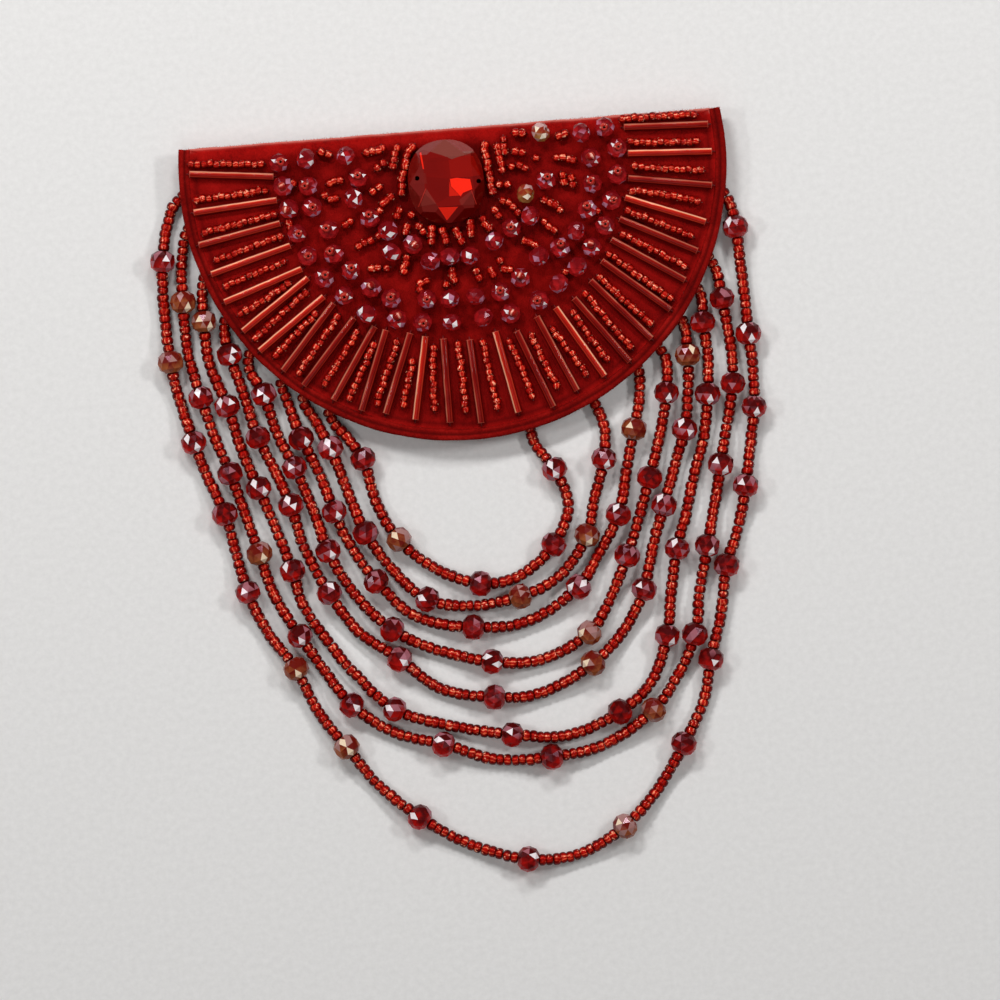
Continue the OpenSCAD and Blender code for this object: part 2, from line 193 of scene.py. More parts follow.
def times_plus(made, value, factor, more):
    """A value times a factor, and more."""
    inputs = {0: value, 1: factor, 2: more}
    return add_node(made, "Math", inputs, operation="MULTIPLY_ADD").outputs[0]


def spread(made, value, low, high, to_low=0.0, to_high=1.0):
    """A value spread from the range low to high to another range, and held inside it."""
    inputs = {"Value": value, "From Min": low, "From Max": high, "To Min": to_low, "To Max": to_high}
    return add_node(made, "MapRange", inputs).outputs[0]


def mixed(made, share, first, second):
    """Two colours mixed by a share of the second."""
    return add_node(made, "Mix", {0: share, 6: first, 7: second}, data_type="RGBA").outputs[2]


def dyed(made, value, stops):
    """The colour that belongs to a value, from (position, colour) pairs."""
    node = add_node(made, "ValToRGB", {0: value})
    ramp = node.color_ramp.elements
    ramp[0].position, ramp[0].color = stops[0][0], (*stops[0][1], 1)
    ramp[1].position, ramp[1].color = stops[-1][0], (*stops[-1][1], 1)
    for position, colour in stops[1:-1]:
        ramp.new(position).color = (*colour, 1)
    return node.outputs["Color"]


def paint(made, colour, height=None, strength=0.0, depth=0.0):
    """Gives a finish its colour, and the relief that height presses into it."""
    shader = made.node_tree.nodes["Principled BSDF"]
    feed(made, shader.inputs["Base Color"], colour)
    if height is not None:
        relief = add_node(made, "Bump", Height=height, Strength=strength, Distance=depth)
        feed(made, shader.inputs["Normal"], relief.outputs["Normal"])


def felt(name, dark, mid, light, pile):
    """Wool felt: mottled dyed wool and a nap of fine crossing fibres, with painted shade where the mesh
    keeps it, and a paler cut top edge of open wool with a painted highlight."""
    made = finish_of(name, Roughness=0.92, Sheen_Weight=0.04, Sheen_Roughness=0.5,
                     Sheen_Tint=(1.0, 0.12, 0.08), Specular_IOR_Level=0.05)
    place = own_place(made)
    clouds = speckle(made, place, pile * 0.12, Detail=5.0, Roughness=0.62)
    fibres = speckle(made, place, pile, Detail=6.0, Roughness=0.7, Distortion=1.6)
    nap = add_node(made, "TexWave", Vector=place, Scale=pile * 0.5, Distortion=14.0, Detail=3.0)
    mottled = add_node(made, "Mix", {0: 0.45, 2: clouds, 3: fibres}, data_type="FLOAT").outputs[0]
    colour = dyed(made, mottled, [(0.34, dark), (0.5, mid), (0.68, light)])
    # Painted shade: the felt is darkened where the mesh keeps shade of beads, thread or edging.
    colour = mixed(made, kept(made, "sewn"), colour, tuple(0.5 * c for c in dark))
    # Painted highlight with the open wool along the cut top edge.
    colour = mixed(made, kept(made, "cut"), colour, CUT_EDGE_HIGHLIGHT)
    paint(made, colour, times_plus(made, nap.outputs["Fac"], 0.35, fibres), 0.55, 0.00025)
    return made


def fasten(piece, finish, slot, *nodes):
    """Gives a piece its finish and hides the plain nodes that it stands for. slot is not used."""
    piece.data.materials.append(finish)
    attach(piece, "root")
    if nodes:
        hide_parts(*nodes)


backing_edge = half_moon_edge(PANEL_R, 0.8, 0.35)
backing = felt_sheet("backing_felt_sheet", backing_edge, BACK_Z, BACK_Z + BACKING_T, lambda x, y: 0.0)
backing_wool = felt("backing wool felt", (0.11, 0.001, 0.001), (0.25, 0.003, 0.002),
                    (0.38, 0.007, 0.005), 900)
fasten(backing, backing_wool, "backing", "backing_felt")


# Face cloth.
# A thinner, brighter felt glued on the backing. The beads are sewn to it, and its round edge turns up
# a little where the edging presses against it. Along the top it is cut off level with the backing.
CLOTH_T = 1.2
CLOTH_R = 62.7
LAYER_GAP = 0.1
CLOTH_Z = BACK_Z + BACKING_T + LAYER_GAP
BEADS_Z = CLOTH_Z + CLOTH_T + LAYER_GAP
# The cloth gets painted shade: darkest round the stone and along the edging, and darker among the
# beads than along its bare top, which starts here.
STONE_SHADE_AT = (-0.3, 75.0)
BARE_TOP = 86.8
RAYS_FROM = 45.0


def near(value, at, width):
    """1 where a value is at a place, and close to 0 two widths away."""
    return math.exp(-((value - at) / width) ** 2)


def held(share):
    """A share held between 0 and 1."""
    return min(1.0, max(0.0, share))


def cloth_lift(x, y):
    """The lip along the round edge, and the shallow waves that the tight sewing thread draws."""
    lip = 0.25 * near(math.hypot(x - PANEL_AT[0], y - PANEL_AT[1]), 61.9, 0.7)
    waves = 0.07 * noise.noise((x * 0.16, y * 0.16, 2.0)) + 0.03 * noise.noise((x * 0.6, y * 0.6, 5.0))
    return lip + waves - 0.03


def painted_cloth_shade(x, y):
    """How much painted shade darkens the cloth at a place: shade among the beads and thread, round
    the stone and in a dark line by the edging, less toward the left and right sides.
    """
    reach = math.hypot(x - PANEL_AT[0], y - PANEL_AT[1])
    inside = held((62.4 - reach) / 1.2) * held((BARE_TOP - y) / 3)
    by_stone = near(math.hypot(x - STONE_SHADE_AT[0], y - STONE_SHADE_AT[1]), 12.0, 5.0)
    by_edging = near(reach, 61.3, 0.8) * held((87.6 - y) / 2)
    # Painted shade among the bugles, lighter toward the left and right sides.
    among_rays = 0.54 - 0.2 * ((x - PANEL_AT[0]) / max(reach, 1.0)) ** 2
    return max(0.8 * by_edging, inside * ((among_rays if reach > RAYS_FROM else 0.46) + 0.35 * by_stone))


cloth_edge = half_moon_edge(CLOTH_R, 0.7, 0.2)
cloth = felt_sheet("face_cloth_sheet", cloth_edge, CLOTH_Z, CLOTH_Z + CLOTH_T, cloth_lift)
keep(cloth.data, "sewn", [painted_cloth_shade(v.co.x / MM, v.co.y / MM) for v in cloth.data.vertices])
face_wool = felt("face wool felt", (0.14, 0.001, 0.001), (0.33, 0.004, 0.003),
                 (0.48, 0.008, 0.006), 1100)
fasten(cloth, face_wool, "face_cloth", "face_cloth")


# Rolled felt edging.
# A narrow strip of the same felt, rolled softly over the rim and fixed from behind. It is fatter in
# some places than in others, and a groove runs along its crest where hidden stitches draw it in.
ROLL_W = 2.75
ROLL_HIGH = 6.45
ROLL_SIDES = 28
ROLL_STATIONS = 520
# The groove's place across the roll, from -1 at the inner side to 1, its width there and its depth.
GROOVE_AT = -0.05
GROOVE_W = 0.16
GROOVE_DEEP = 0.32
# The angles of the points round the roll's cross-section.
turns = [2 * math.pi * k / ROLL_SIDES for k in range(ROLL_SIDES)]


def groove_share(t):
    """How deep the groove is at an angle round the cross-section, from 0 to 1."""
    return near(math.cos(t), GROOVE_AT, GROOVE_W) if math.sin(t) > 0 else 0.0


def edging_section(a):
    """The roll's cross-section at one angle round the panel, as (radius, height) pairs."""
    way = a * PANEL_R
    fat = 1 + 0.06 * noise.noise((way * 0.12, 1.0, 0.0)) + 0.03 * noise.noise((way * 0.7, 4.0, 0.0))
    inner = PANEL_R - ROLL_W + 0.3 * noise.noise((way * 0.15, 7.0, 0.0))
    outer = PANEL_R + 0.1 + 0.2 * noise.noise((way * 0.09, 2.0, 0.0))
    groove = GROOVE_DEEP * (0.8 + 0.4 * noise.noise((way * 0.4, 9.0, 0.0)))
    section = []
    for t in turns:
        squared = abs(math.cos(t)) ** -0.25 if abs(math.cos(t)) > 0.05 else 1
        across = (inner + outer) / 2 + (outer - inner) / 2 * math.cos(t) * squared
        crest = (ROLL_HIGH * fat ** 0.3 - CLOTH_Z) * (0.5 + 0.5 * math.sin(t + 0.12 * math.cos(t)))
        section.append((across, CLOTH_Z + 0.03 + crest - groove * groove_share(t)))
    return section


def tube_faces(start, stations, sides, first=0):
    """Faces of a capped tube of rings of points, which are numbered on from start. first is the corner
    that each face begins with, which decides the diagonal that it is split along."""
    faces = [tuple(start + k for k in range(sides)),
             tuple(start + stations * sides + k for k in reversed(range(sides)))]
    for a in range(start, start + stations * sides, sides):
        for k in range(sides):
            n = (k + 1) % sides
            corners = (a + k, a + sides + k, a + sides + n, a + n)
            faces.append(corners[first:] + corners[:first])
    return faces


corner = math.asin(PANEL_TOP / (PANEL_R - 1))
points = []
for i in range(ROLL_STATIONS + 1):
    a = math.pi - corner + (math.pi + 2 * corner) * i / ROLL_STATIONS
    for r, z in edging_section(a):
        points.append((PANEL_AT[0] + r * math.cos(a), PANEL_AT[1] + r * math.sin(a), z))
edging = piece_from("rolled_edging", points, tube_faces(0, ROLL_STATIONS, ROLL_SIDES, first=3))
# Painted shade in the groove along the crest and on the roll's inner side.
shade = [max(0.85 * groove_share(t), 0.75 * held((-math.cos(t) - 0.7) / 0.25)) for t in turns]
keep(edging.data, "sewn", np.tile(shade, ROLL_STATIONS + 1))
edging_wool = felt("edging wool felt", (0.1, 0.001, 0.001), (0.215, 0.003, 0.002),
                   (0.35, 0.008, 0.006), 1000)
fasten(edging, edging_wool, "edging", "rolled_edge")


# Loose wool.
# Felt sheds fine fibres where it is cut and rubbed. They stand out all round the half moon, thickest
# along the cut top edge, and are only a few hundredths of a millimetre thick.
FIBRE_R = 0.022
TOP_FIBRES = 1500
RIM_FIBRES = 1300
ON_FACE = 0.4
TOP_LAYERS = [CLOTH_Z + CLOTH_T - 0.15, CLOTH_Z + 0.4, BACK_Z + BACKING_T - 0.3, BACK_Z + 0.6]
chance = np.random.default_rng(11)


def tube_mesh(paths, radius, sides=6):
    """Points and faces of round tubes that follow paths, all of one radius. A path is a list of points."""
    points, faces = [], []
    for path in paths:
        path = np.asarray(path, float)
        along = np.gradient(path, axis=0)
        along /= np.linalg.norm(along, axis=1)[:, None] + 1e-12
        faces += tube_faces(len(points), len(path) - 1, sides)
        for p, d in zip(path, along):
            side = np.cross(d, (0.0, 0.0, 1.0)) if abs(d[2]) < 0.9 else np.cross(d, (0.3, 1.0, 0.0))
            side /= np.linalg.norm(side)
            over = np.cross(side, d)
            for k in range(sides):
                t = 2 * math.pi * k / sides
                points.append(p + radius * (math.cos(t) * side + math.sin(t) * over))
    return points, faces


def fibre(root, out):
    """One curved fibre that leaves a root point roughly in the direction out."""
    lean = np.array([chance.uniform(-1, 1), chance.uniform(-1, 1), chance.uniform(-0.5, 0.8)])
    curl = np.array([chance.uniform(-1, 1), chance.uniform(-1, 1), chance.uniform(-1, 1)]) * 0.18
    reach = np.asarray(out) * chance.uniform(0.1, 0.45) + lean * 0.16
    return [root, root + reach * 0.5 + curl, root + reach]


paths = []
half_top = math.sqrt(PANEL_R ** 2 - PANEL_TOP ** 2)
for i in range(TOP_FIBRES):
    high = chance.choice(TOP_LAYERS)
    along_top = chance.uniform(-half_top, half_top)
    root = np.array([along_top, PANEL_TOP - 0.1, high + chance.uniform(-0.3, 0.1)])
    paths.append(fibre(root + (*PANEL_AT, 0.0), (0.0, 1.0, 0.0)))
for i in range(RIM_FIBRES):
    a = chance.uniform(math.pi - corner, 2 * math.pi + corner)
    out = np.array([math.cos(a), math.sin(a), 0.0])
    on_face = chance.random() < ON_FACE
    r = chance.uniform(PANEL_R - ROLL_W, PANEL_R - 1.0) if on_face else PANEL_R - 0.15
    z = ROLL_HIGH - 0.35 if on_face else chance.uniform(BACK_Z + 0.3, ROLL_HIGH - 0.5)
    paths.append(fibre(np.array([*PANEL_AT, z]) + out * r, -0.6 * out if on_face else out))
loose_wool = finish_of("loose red wool", Roughness=0.8)
tufts = speckle(loose_wool, own_place(loose_wool), 300.0, Detail=2.0)
paint(loose_wool, dyed(loose_wool, tufts, [(0.0, (0.35, 0.01, 0.008)), (1.0, (0.75, 0.2, 0.16))]))
fibres = piece_from("cut_edge_fibres", *tube_mesh(paths, FIBRE_R, 3))
fasten(fibres, loose_wool, "backing")


# Bugle beads.
# Long red glass tubes with a silver lining, cut to 20 mm and tumbled so that their ends are barely
# rounded. Each is sewn down along a ray of the panel by a twisted red thread through its bore.
BUGLE_LEN = 20.0
BUGLE_R = 0.95
BUGLE_HOLE_R = 0.35
BUGLE_THREAD_R = 0.16
# The bugles painted with a bright highlight along the lining, counted from the top left round the
# panel. Of the others, those left of LEFT_SIDE are painted a little brighter, as lit more from the left.
BRIGHT_BUGLES = (2, 4, 5, 6, 7, 13, 16, 19, 25, 27)
LEFT_SIDE = -50
# Each bugle's outer and inner end.
bugle_chart = [
    (-60.9, 82.6, -42.5, 80.6), (-60.6, 73.4, -40.6, 74.8), (-60.0, 65.6, -40.6, 69.2),
    (-57.6, 58.5, -39.0, 63.6), (-55.0, 51.6, -36.8, 57.8), (-51.2, 44.4, -35.9, 55.0),
    (-47.6, 39.4, -31.8, 50.8), (-42.4, 34.3, -29.6, 48.8), (-37.8, 30.4, -25.2, 44.8),
    (-31.0, 26.4, -20.0, 42.9), (-24.6, 23.4, -17.5, 41.6), (-18.9, 22.2, -11.8, 40.4),
    (-12.0, 20.2, -8.1, 39.8), (-3.9, 18.9, -3.9, 39.2), (3.5, 18.2, 2.3, 38.4), (12.5, 20.0, 8.6, 39.5),
    (20.9, 20.7, 13.8, 38.8), (26.8, 24.1, 19.1, 41.4), (33.6, 27.0, 23.2, 44.3),
    (39.8, 30.0, 27.5, 46.4), (45.4, 35.0, 31.8, 50.2), (50.4, 41.5, 34.4, 54.9),
    (54.4, 48.2, 36.7, 59.9), (57.9, 54.9, 39.4, 64.3), (60.4, 61.6, 41.9, 68.8),
    (62.6, 70.2, 42.9, 73.4), (63.2, 78.2, 43.1, 79.3), (62.8, 84.7, 41.9, 85.6)]


def turned(profile, sides):
    """Points and faces of a closed profile of (radius, height) pairs turned about the height axis."""
    points, faces = [], []
    count = len(profile)
    for k in range(sides):
        t = 2 * math.pi * k / sides
        n = (k + 1) % sides
        points += [(r * math.cos(t), r * math.sin(t), z) for r, z in profile]
        for i in range(count):
            j = (i + 1) % count
            faces.append((k * count + i, n * count + i, n * count + j, k * count + j))
    return np.array(points), faces


def bored_bead(half, sides):
    """A bored bead, turned from the upper half of its profile, out from its middle and in to its hole."""
    return turned([(r, -z) for r, z in reversed(half)] + half, sides)


def frame_along(way, spin=0.0):
    """A 3 by 3 turn that takes the height axis to a direction, spun about it."""
    way = np.asarray(way, float) / np.linalg.norm(way)
    side = np.cross(way, (0.0, 0.0, 1.0)) if abs(way[2]) < 0.95 else np.cross(way, (0.0, 1.0, 0.0))
    side /= np.linalg.norm(side)
    over = np.cross(way, side)
    return np.stack([math.cos(spin) * side + math.sin(spin) * over,
                     math.cos(spin) * over - math.sin(spin) * side, way], axis=1)


# The directions that the light comes from and that it leaves the glass by, for the painted light and
# shade of the beads.
LIGHT_COMES = np.array([-0.35, 1.0, 0.0])
LIGHT_LEAVES = np.array([-0.1, -0.85, -0.5])
# The directions of the painted flashes in the facets, and the share of beads that miss each: the
# facet that faces one is painted as a white glint.
PAINTED_FLASHES_FROM = [((-0.38, 0.3, 0.88), 0.4), ((0.42, 0.25, 0.87), 0.75), ((0.3, -0.35, 0.88), 0.5)]
# The most that a facet of four corners or three draws. One painted as a flash gets 1.
MOST_OF_KITE = 0.9
MOST_OF_TRIANGLE = 0.84


def many(name, shape, places, tones, smooth=True, calm=0.0):
    """One mesh of many copies, each at a place of (turn, size, position). A point keeps its copy's
    tone. A round bead's point also keeps its flank, from -1 on the shaded side to 1 on the lit one, for
    painted light and shade, and its end, 1 at the tips. A cut bead's point keeps its glow, 1 where light
    leaves the bead, for a painted glow, and each facet a number of its own, 1 where it is painted as a
    flash. calm is the further share of beads that miss the painted flashes."""
    shape_points, shape_faces = shape
    count = len(shape_points)
    points = np.concatenate([(shape_points * size) @ turn.T + at for turn, size, at in places])
    faces = [tuple(v + i * count for v in face) for i in range(len(places)) for face in shape_faces]
    made = piece_from(name, points, faces, smooth)
    keep(made.data, "tone", np.repeat(tones, count))
    if smooth:
        out = shape_points * (1, 1, 0)
        out = out / np.maximum(np.linalg.norm(out, axis=1), 1e-9)[:, None]
        # Each point's flank across a round bead, for its painted light and shade.
        flanks = []
        for turn, size, at in places:
            side = np.cross(turn[:, 2], (0.0, 0.0, 1.0))
            if np.linalg.norm(side) < 0.5:
                side = LIGHT_COMES
            side = side / np.linalg.norm(side) * (1 if side @ LIGHT_COMES > 0 else -1)
            flanks.append(out @ turn.T @ side)
        keep(made.data, "flank", flanks)
        far = np.abs(shape_points[:, 2])
        keep(made.data, "end", np.tile(far / far.max(), len(places)))
    else:
        # Each point's glow, for the painted glow where light leaves a cut bead.
        deep = shape_points / np.linalg.norm(shape_points, axis=1)[:, None]
        keep(made.data, "glow", [deep @ turn.T @ LIGHT_LEAVES for turn, size, at in places])
        drawn = chance.random(len(faces))
        shown = drawn * [MOST_OF_KITE if len(face) > 3 else MOST_OF_TRIANGLE for face in faces]
        a, b, c = [shape_points[[face[k] for face in shape_faces]] for k in range(3)]
        faced = np.cross(b - a, c - a)
        faced /= np.linalg.norm(faced, axis=1)[:, None]
        # The facet that faces each painted flash is set to 1, to be painted as a white glint.
        for i, (turn, size, at) in enumerate(places):
            for flash_from, missed in PAINTED_FLASHES_FROM:
                best = i * len(shape_faces) + int(np.argmax(faced @ turn.T @ flash_from))
                if drawn[best] > missed + calm:
                    shown[best] = 1.0
        keep(made.data, "facet", shown, "FACE")
    return made


def lined_glass(name, dull, bright, wobble, crinkle, tips, painted_tip_colour, sparks=0.0):
    """Silver-lined glass, with painted light and shade. Its colour changes across the bead, from the
    painted shade of the shaded flank to the painted highlights of the lining on the lit one, in the
    stops of dull for a bead of tone 0 and of bright for tone 1. Past the share tips of its half length
    it takes the tip colour, painted shade or painted highlight at its ends. sparks is the scale of its
    painted glints, if any."""
    made = finish_of(name, Roughness=0.4, Metallic=0.15, Coat_Weight=0.22, Coat_Roughness=0.03,
                     Coat_IOR=1.4, Specular_IOR_Level=0.04)
    place = own_place(made)
    ripple = speckle(made, place, crinkle, Detail=2.0, Roughness=0.5, Distortion=0.6)
    across = times_plus(made, ripple, wobble, kept(made, "flank"))
    across = spread(made, across, wobble / 2 - 1, wobble / 2 + 1)
    patches_of_light = speckle(made, place, crinkle * 0.8, Detail=1.0)
    # Patches with more or less of the painted highlight of the lining.
    patchy = spread(made, patches_of_light, 0.38, 0.62, -wobble / 2, wobble / 2)
    caught = add_node(made, "Math", {0: kept(made, "tone"), 1: patchy}, operation="ADD", use_clamp=True)
    colour = mixed(made, caught.outputs[0], dyed(made, across, dull), dyed(made, across, bright))
    # Painted shade or painted highlight at the ends of the bead.
    colour = mixed(made, spread(made, kept(made, "end"), tips, 1.0), colour, painted_tip_colour)
    if sparks:
        # Painted glints.
        painted_glints = spread(made, speckle(made, place, sparks, Detail=1.0), 0.67, 0.73)
        colour = mixed(made, painted_glints, colour, (1.0, 0.4, 0.25))
    paint(made, colour, ripple, 0.3, 0.0002)
    return made


half = BUGLE_LEN / 2
bugle_shape = bored_bead([(BUGLE_R, half - 0.2), (BUGLE_R - 0.04, half - 0.06), (BUGLE_R - 0.16, half),
                          (BUGLE_HOLE_R + 0.08, half), (BUGLE_HOLE_R, half - 0.06)], 28)
places, tones, paths = [], [], []
for number, (x0, y0, x1, y1) in enumerate(bugle_chart, 1):
    way = np.array([x1 - x0, y1 - y0, 0.0])
    way /= np.linalg.norm(way)
    start = np.array([x0, y0, BEADS_Z + BUGLE_R])
    places.append((frame_along(way), 1.0, start + way * half))
    # Painted light: the bright bugles get most of the highlight colours, those on the left a little more.
    dull = 0.3 if x0 < LEFT_SIDE else 0.0
    tones.append(chance.uniform(0.8, 1.0) if number in BRIGHT_BUGLES else dull + chance.uniform(0.1, 0.3))
    for end, out in ((start, -way), (start + way * BUGLE_LEN, way)):
        # The thread leaves the bore, dips to the cloth and goes through it.
        dip = end + out * 0.55 - (0, 0, 0.35)
        paths.append([end - out * 0.8, end + out * 0.15, dip, dip + out * 0.15 - (0, 0, 0.95)])
bugles = many("bugle_beads", bugle_shape, places, tones)
# Painted light and shade: shaded flanks, highlight lines of the lining and lit bore rims.
bugle_glass = lined_glass(
    "silver lined red bugle glass",
    [(0.0, (0.03, 0.0, 0.0)), (0.1, (0.16, 0.001, 0.001)), (0.2, (0.3, 0.014, 0.008)),
     (0.28, (0.1, 0.001, 0.0)), (0.55, (0.16, 0.001, 0.001)), (0.7, (0.19, 0.001, 0.001)),
     (0.8, (0.4, 0.03, 0.018)), (0.87, (0.16, 0.001, 0.001)), (1.0, (0.03, 0.0, 0.0))],
    [(0.0, (0.05, 0.0, 0.0)), (0.1, (0.3, 0.004, 0.002)), (0.2, (0.6, 0.05, 0.02)),
     (0.28, (0.3, 0.004, 0.002)), (0.55, (0.45, 0.01, 0.004)), (0.69, (0.55, 0.02, 0.006)),
     (0.75, (1.0, 0.4, 0.2)), (0.82, (1.0, 0.56, 0.36)), (0.9, (0.4, 0.01, 0.005)),
     (1.0, (0.06, 0.0, 0.0))],
    0.2, 220, 0.98, (0.6, 0.1, 0.06))
fasten(bugles, bugle_glass, "bugle_glass", *["bugle_%02d" % (i + 1) for i in range(len(bugle_chart))])
thread_red = finish_of("twisted red thread", Roughness=0.7)
twist = add_node(thread_red, "TexWave", Vector=own_place(thread_red), Scale=2600.0, Distortion=1.5,
                 Detail=2.0).outputs["Fac"]
paint(thread_red, dyed(thread_red, twist, [(0.0, (0.08, 0.001, 0.001)), (1.0, (0.3, 0.006, 0.006))]),
      twist, 0.6, 0.0001)
fasten(piece_from("bugle_threads", *tube_mesh(paths, BUGLE_THREAD_R)), thread_red, "seed_glass")


# Rows of seed beads on the panel.
# Small silver-lined red glass seeds, threaded a dozen at a time and couched down between the bugles,
# with short rows round the stone and between the crystals. The tight thread lets each row wander.
SEED_D = 2.05
SEED_PITCH = 1.46
ROW_THREAD_R = 0.14
# How far a row may bow, how far its seeds snake from side to side, and how far each sits askew.
ROW_BOW = 0.3
ROW_SNAKE = 0.16
SEED_LEAN = 0.25
# Each row's two ends: the rays between the bugles, the short sprays, and the single seeds and pairs
# that fill the gaps round the stone and among the crystals.
ray_chart = [
    (-61.0, 84.9, -43.0, 83.6), (-60.4, 76.4, -42.6, 77.5), (-59.0, 68.4, -41.0, 71.6),
    (-56.6, 61.6, -40.0, 66.4), (-55.0, 55.2, -39.5, 60.2), (-52.0, 48.2, -39.0, 55.1),
    (-49.0, 42.0, -35.0, 52.8), (-44.5, 37.5, -33.2, 47.5), (-39.2, 33.0, -28.0, 46.5),
    (-33.2, 30.0, -23.8, 42.5), (-27.7, 26.1, -20.2, 39.4), (-21.1, 24.3, -14.6, 39.6),
    (-14.8, 23.4, -11.4, 34.6), (-7.3, 21.8, -6.4, 37.5), (0.0, 21.0, -0.7, 37.9), (7.9, 21.0, 5.4, 37.9),
    (16.2, 22.9, 11.4, 37.5), (22.4, 25.0, 16.8, 38.6), (29.6, 27.4, 21.8, 39.6),
    (34.8, 30.4, 27.0, 43.2), (40.7, 32.9, 30.4, 47.5), (45.9, 38.2, 33.8, 51.0),
    (51.2, 43.8, 36.5, 56.3), (55.2, 51.2, 40.0, 60.6), (57.2, 58.2, 41.5, 65.9),
    (59.5, 66.5, 43.0, 70.6), (61.0, 73.8, 44.0, 76.2), (60.3, 80.8, 43.5, 82.0), (60.3, 87.4, 42.0, 87.6)]
spray_chart = [
    (-11.0, 85.5, -12.7, 80.0), (-7.3, 85.4, -9.5, 82.4), (-10.2, 79.5, -11.3, 73.5),
    (-11.6, 70.8, -12.6, 68.0), (-7.2, 67.0, -7.9, 65.0), (-4.5, 65.9, -4.7, 61.3),
    (-1.9, 65.2, -1.3, 61.2), (0.9, 65.0, 2.7, 61.0), (4.4, 66.6, 4.7, 62.6), (7.4, 67.0, 9.3, 63.6),
    (10.0, 68.8, 12.2, 66.4), (12.0, 70.8, 15.8, 68.4), (9.3, 84.7, 10.5, 72.0), (12.4, 84.0, 13.2, 77.0),
    (13.6, 74.8, 14.6, 73.2), (16.5, 78.7, 19.2, 77.2), (15.8, 82.0, 19.0, 81.6),
    (16.4, 86.2, 19.4, 86.0), (26.6, 84.6, 29.4, 84.9), (-30.2, 85.5, -26.7, 84.6),
    (-19.4, 84.3, -15.0, 84.3), (-28.6, 77.8, -24.8, 78.2), (-28.4, 74.0, -26.2, 74.1),
    (-18.6, 74.7, -15.4, 76.4), (-17.0, 80.0, -15.8, 81.3), (-25.6, 67.4, -23.0, 68.2),
    (-23.0, 62.3, -18.6, 63.9), (-20.3, 57.0, -17.4, 57.2), (-16.0, 71.4, -13.2, 73.8),
    (-12.2, 55.8, -10.8, 59.2), (-9.0, 51.9, -6.2, 53.4), (-0.6, 55.6, -0.2, 51.8),
    (5.3, 55.2, 6.0, 51.8), (8.2, 54.6, 9.4, 52.5), (10.8, 57.4, 12.0, 55.6), (16.8, 60.8, 19.0, 60.0),
    (21.6, 65.2, 24.8, 61.9), (22.0, 70.2, 26.8, 66.8), (25.6, 79.6, 30.0, 79.0), (27.2, 76.2, 28.2, 72.9)]
filling_chart = [
    (-9.3, 82.0, -9.7, 79.8), (-14.7, 85.8, -14.5, 84.4), (-14.8, 82.2, -14.7, 80.8),
    (-17.0, 70.9, -15.9, 70.2), (-9.6, 69.3, -9.0, 68.0), (-10.3, 66.8, -11.0, 64.2),
    (-7.2, 64.6, -6.1, 64.9), (-29.8, 74.8, -28.7, 74.8), (-18.0, 63.8, -16.4, 64.7),
    (-16.8, 56.4, -15.0, 56.9), (-11.2, 56.0, -12.7, 55.0), (-9.0, 50.5, -7.9, 51.1),
    (-36.3, 79.0, -36.2, 77.8), (-38.1, 69.9, -37.8, 67.6), (-2.1, 52.2, -2.0, 51.0),
    (13.9, 83.9, 14.2, 81.4), (14.3, 85.6, 14.4, 84.3), (20.8, 80.2, 22.0, 80.1),
    (15.0, 78.9, 16.2, 78.4), (29.5, 79.0, 30.6, 78.9), (29.2, 75.3, 29.3, 72.1),
    (12.4, 75.0, 12.5, 73.8), (15.3, 67.9, 16.8, 66.5), (19.0, 59.8, 20.9, 58.0),
    (11.2, 54.7, 14.0, 53.8), (26.0, 53.0, 27.0, 52.2), (34.4, 66.5, 35.4, 65.9)]
# A seed is a ring of glass, fatter at its middle than at the rims of its hole. Sizes are shares of
# its diameter.
seed_shape = bored_bead([(0.5, 0.1), (0.44, 0.28), (0.34, 0.36), (0.2, 0.355), (0.14, 0.3)], 14)


def row_of_seeds(x0, y0, x1, y1, fat):
    """Places of the seeds along a row on the cloth, and the thread through them. fat is 1 for the
    usual seed size."""
    start, end = np.array([x0, y0]), np.array([x1, y1])
    run = np.linalg.norm(end - start)
    way = (end - start) / run
    side = np.array([-way[1], way[0]])
    count = max(1, round(run / SEED_PITCH))
    bow, shift = chance.uniform(-ROW_BOW, ROW_BOW), chance.uniform(0, 6)
    places, thread = [], []
    for i in range(count):
        t = (i + 0.5) / count
        snake = ROW_SNAKE * math.sin(2.2 * i + shift)
        off = bow * math.sin(math.pi * t) + snake + chance.uniform(-0.06, 0.06)
        size = SEED_D * fat * chance.uniform(0.93, 1.05)
        z = BEADS_Z + size / 2 - 0.02 + chance.uniform(0.0, 0.08)
        at = np.array([*(start + way * run * t + side * off), z])
        lean = np.array([way[0] + side[0] * chance.uniform(-SEED_LEAN, SEED_LEAN),
                         way[1] + side[1] * chance.uniform(-SEED_LEAN, SEED_LEAN),
                         chance.uniform(-0.16, 0.16)])
        places.append((frame_along(lean, chance.uniform(0, 6)), size, at))
        thread.append(at)
    out = np.array([way[0], way[1], 0.0])
    down = np.array([0.0, 0.0, SEED_D * 0.6])
    first, last = thread[0], thread[-1]
    return places, [first - out * 1.1 - down, first - out, *thread, last + out, last + out * 1.1 - down]


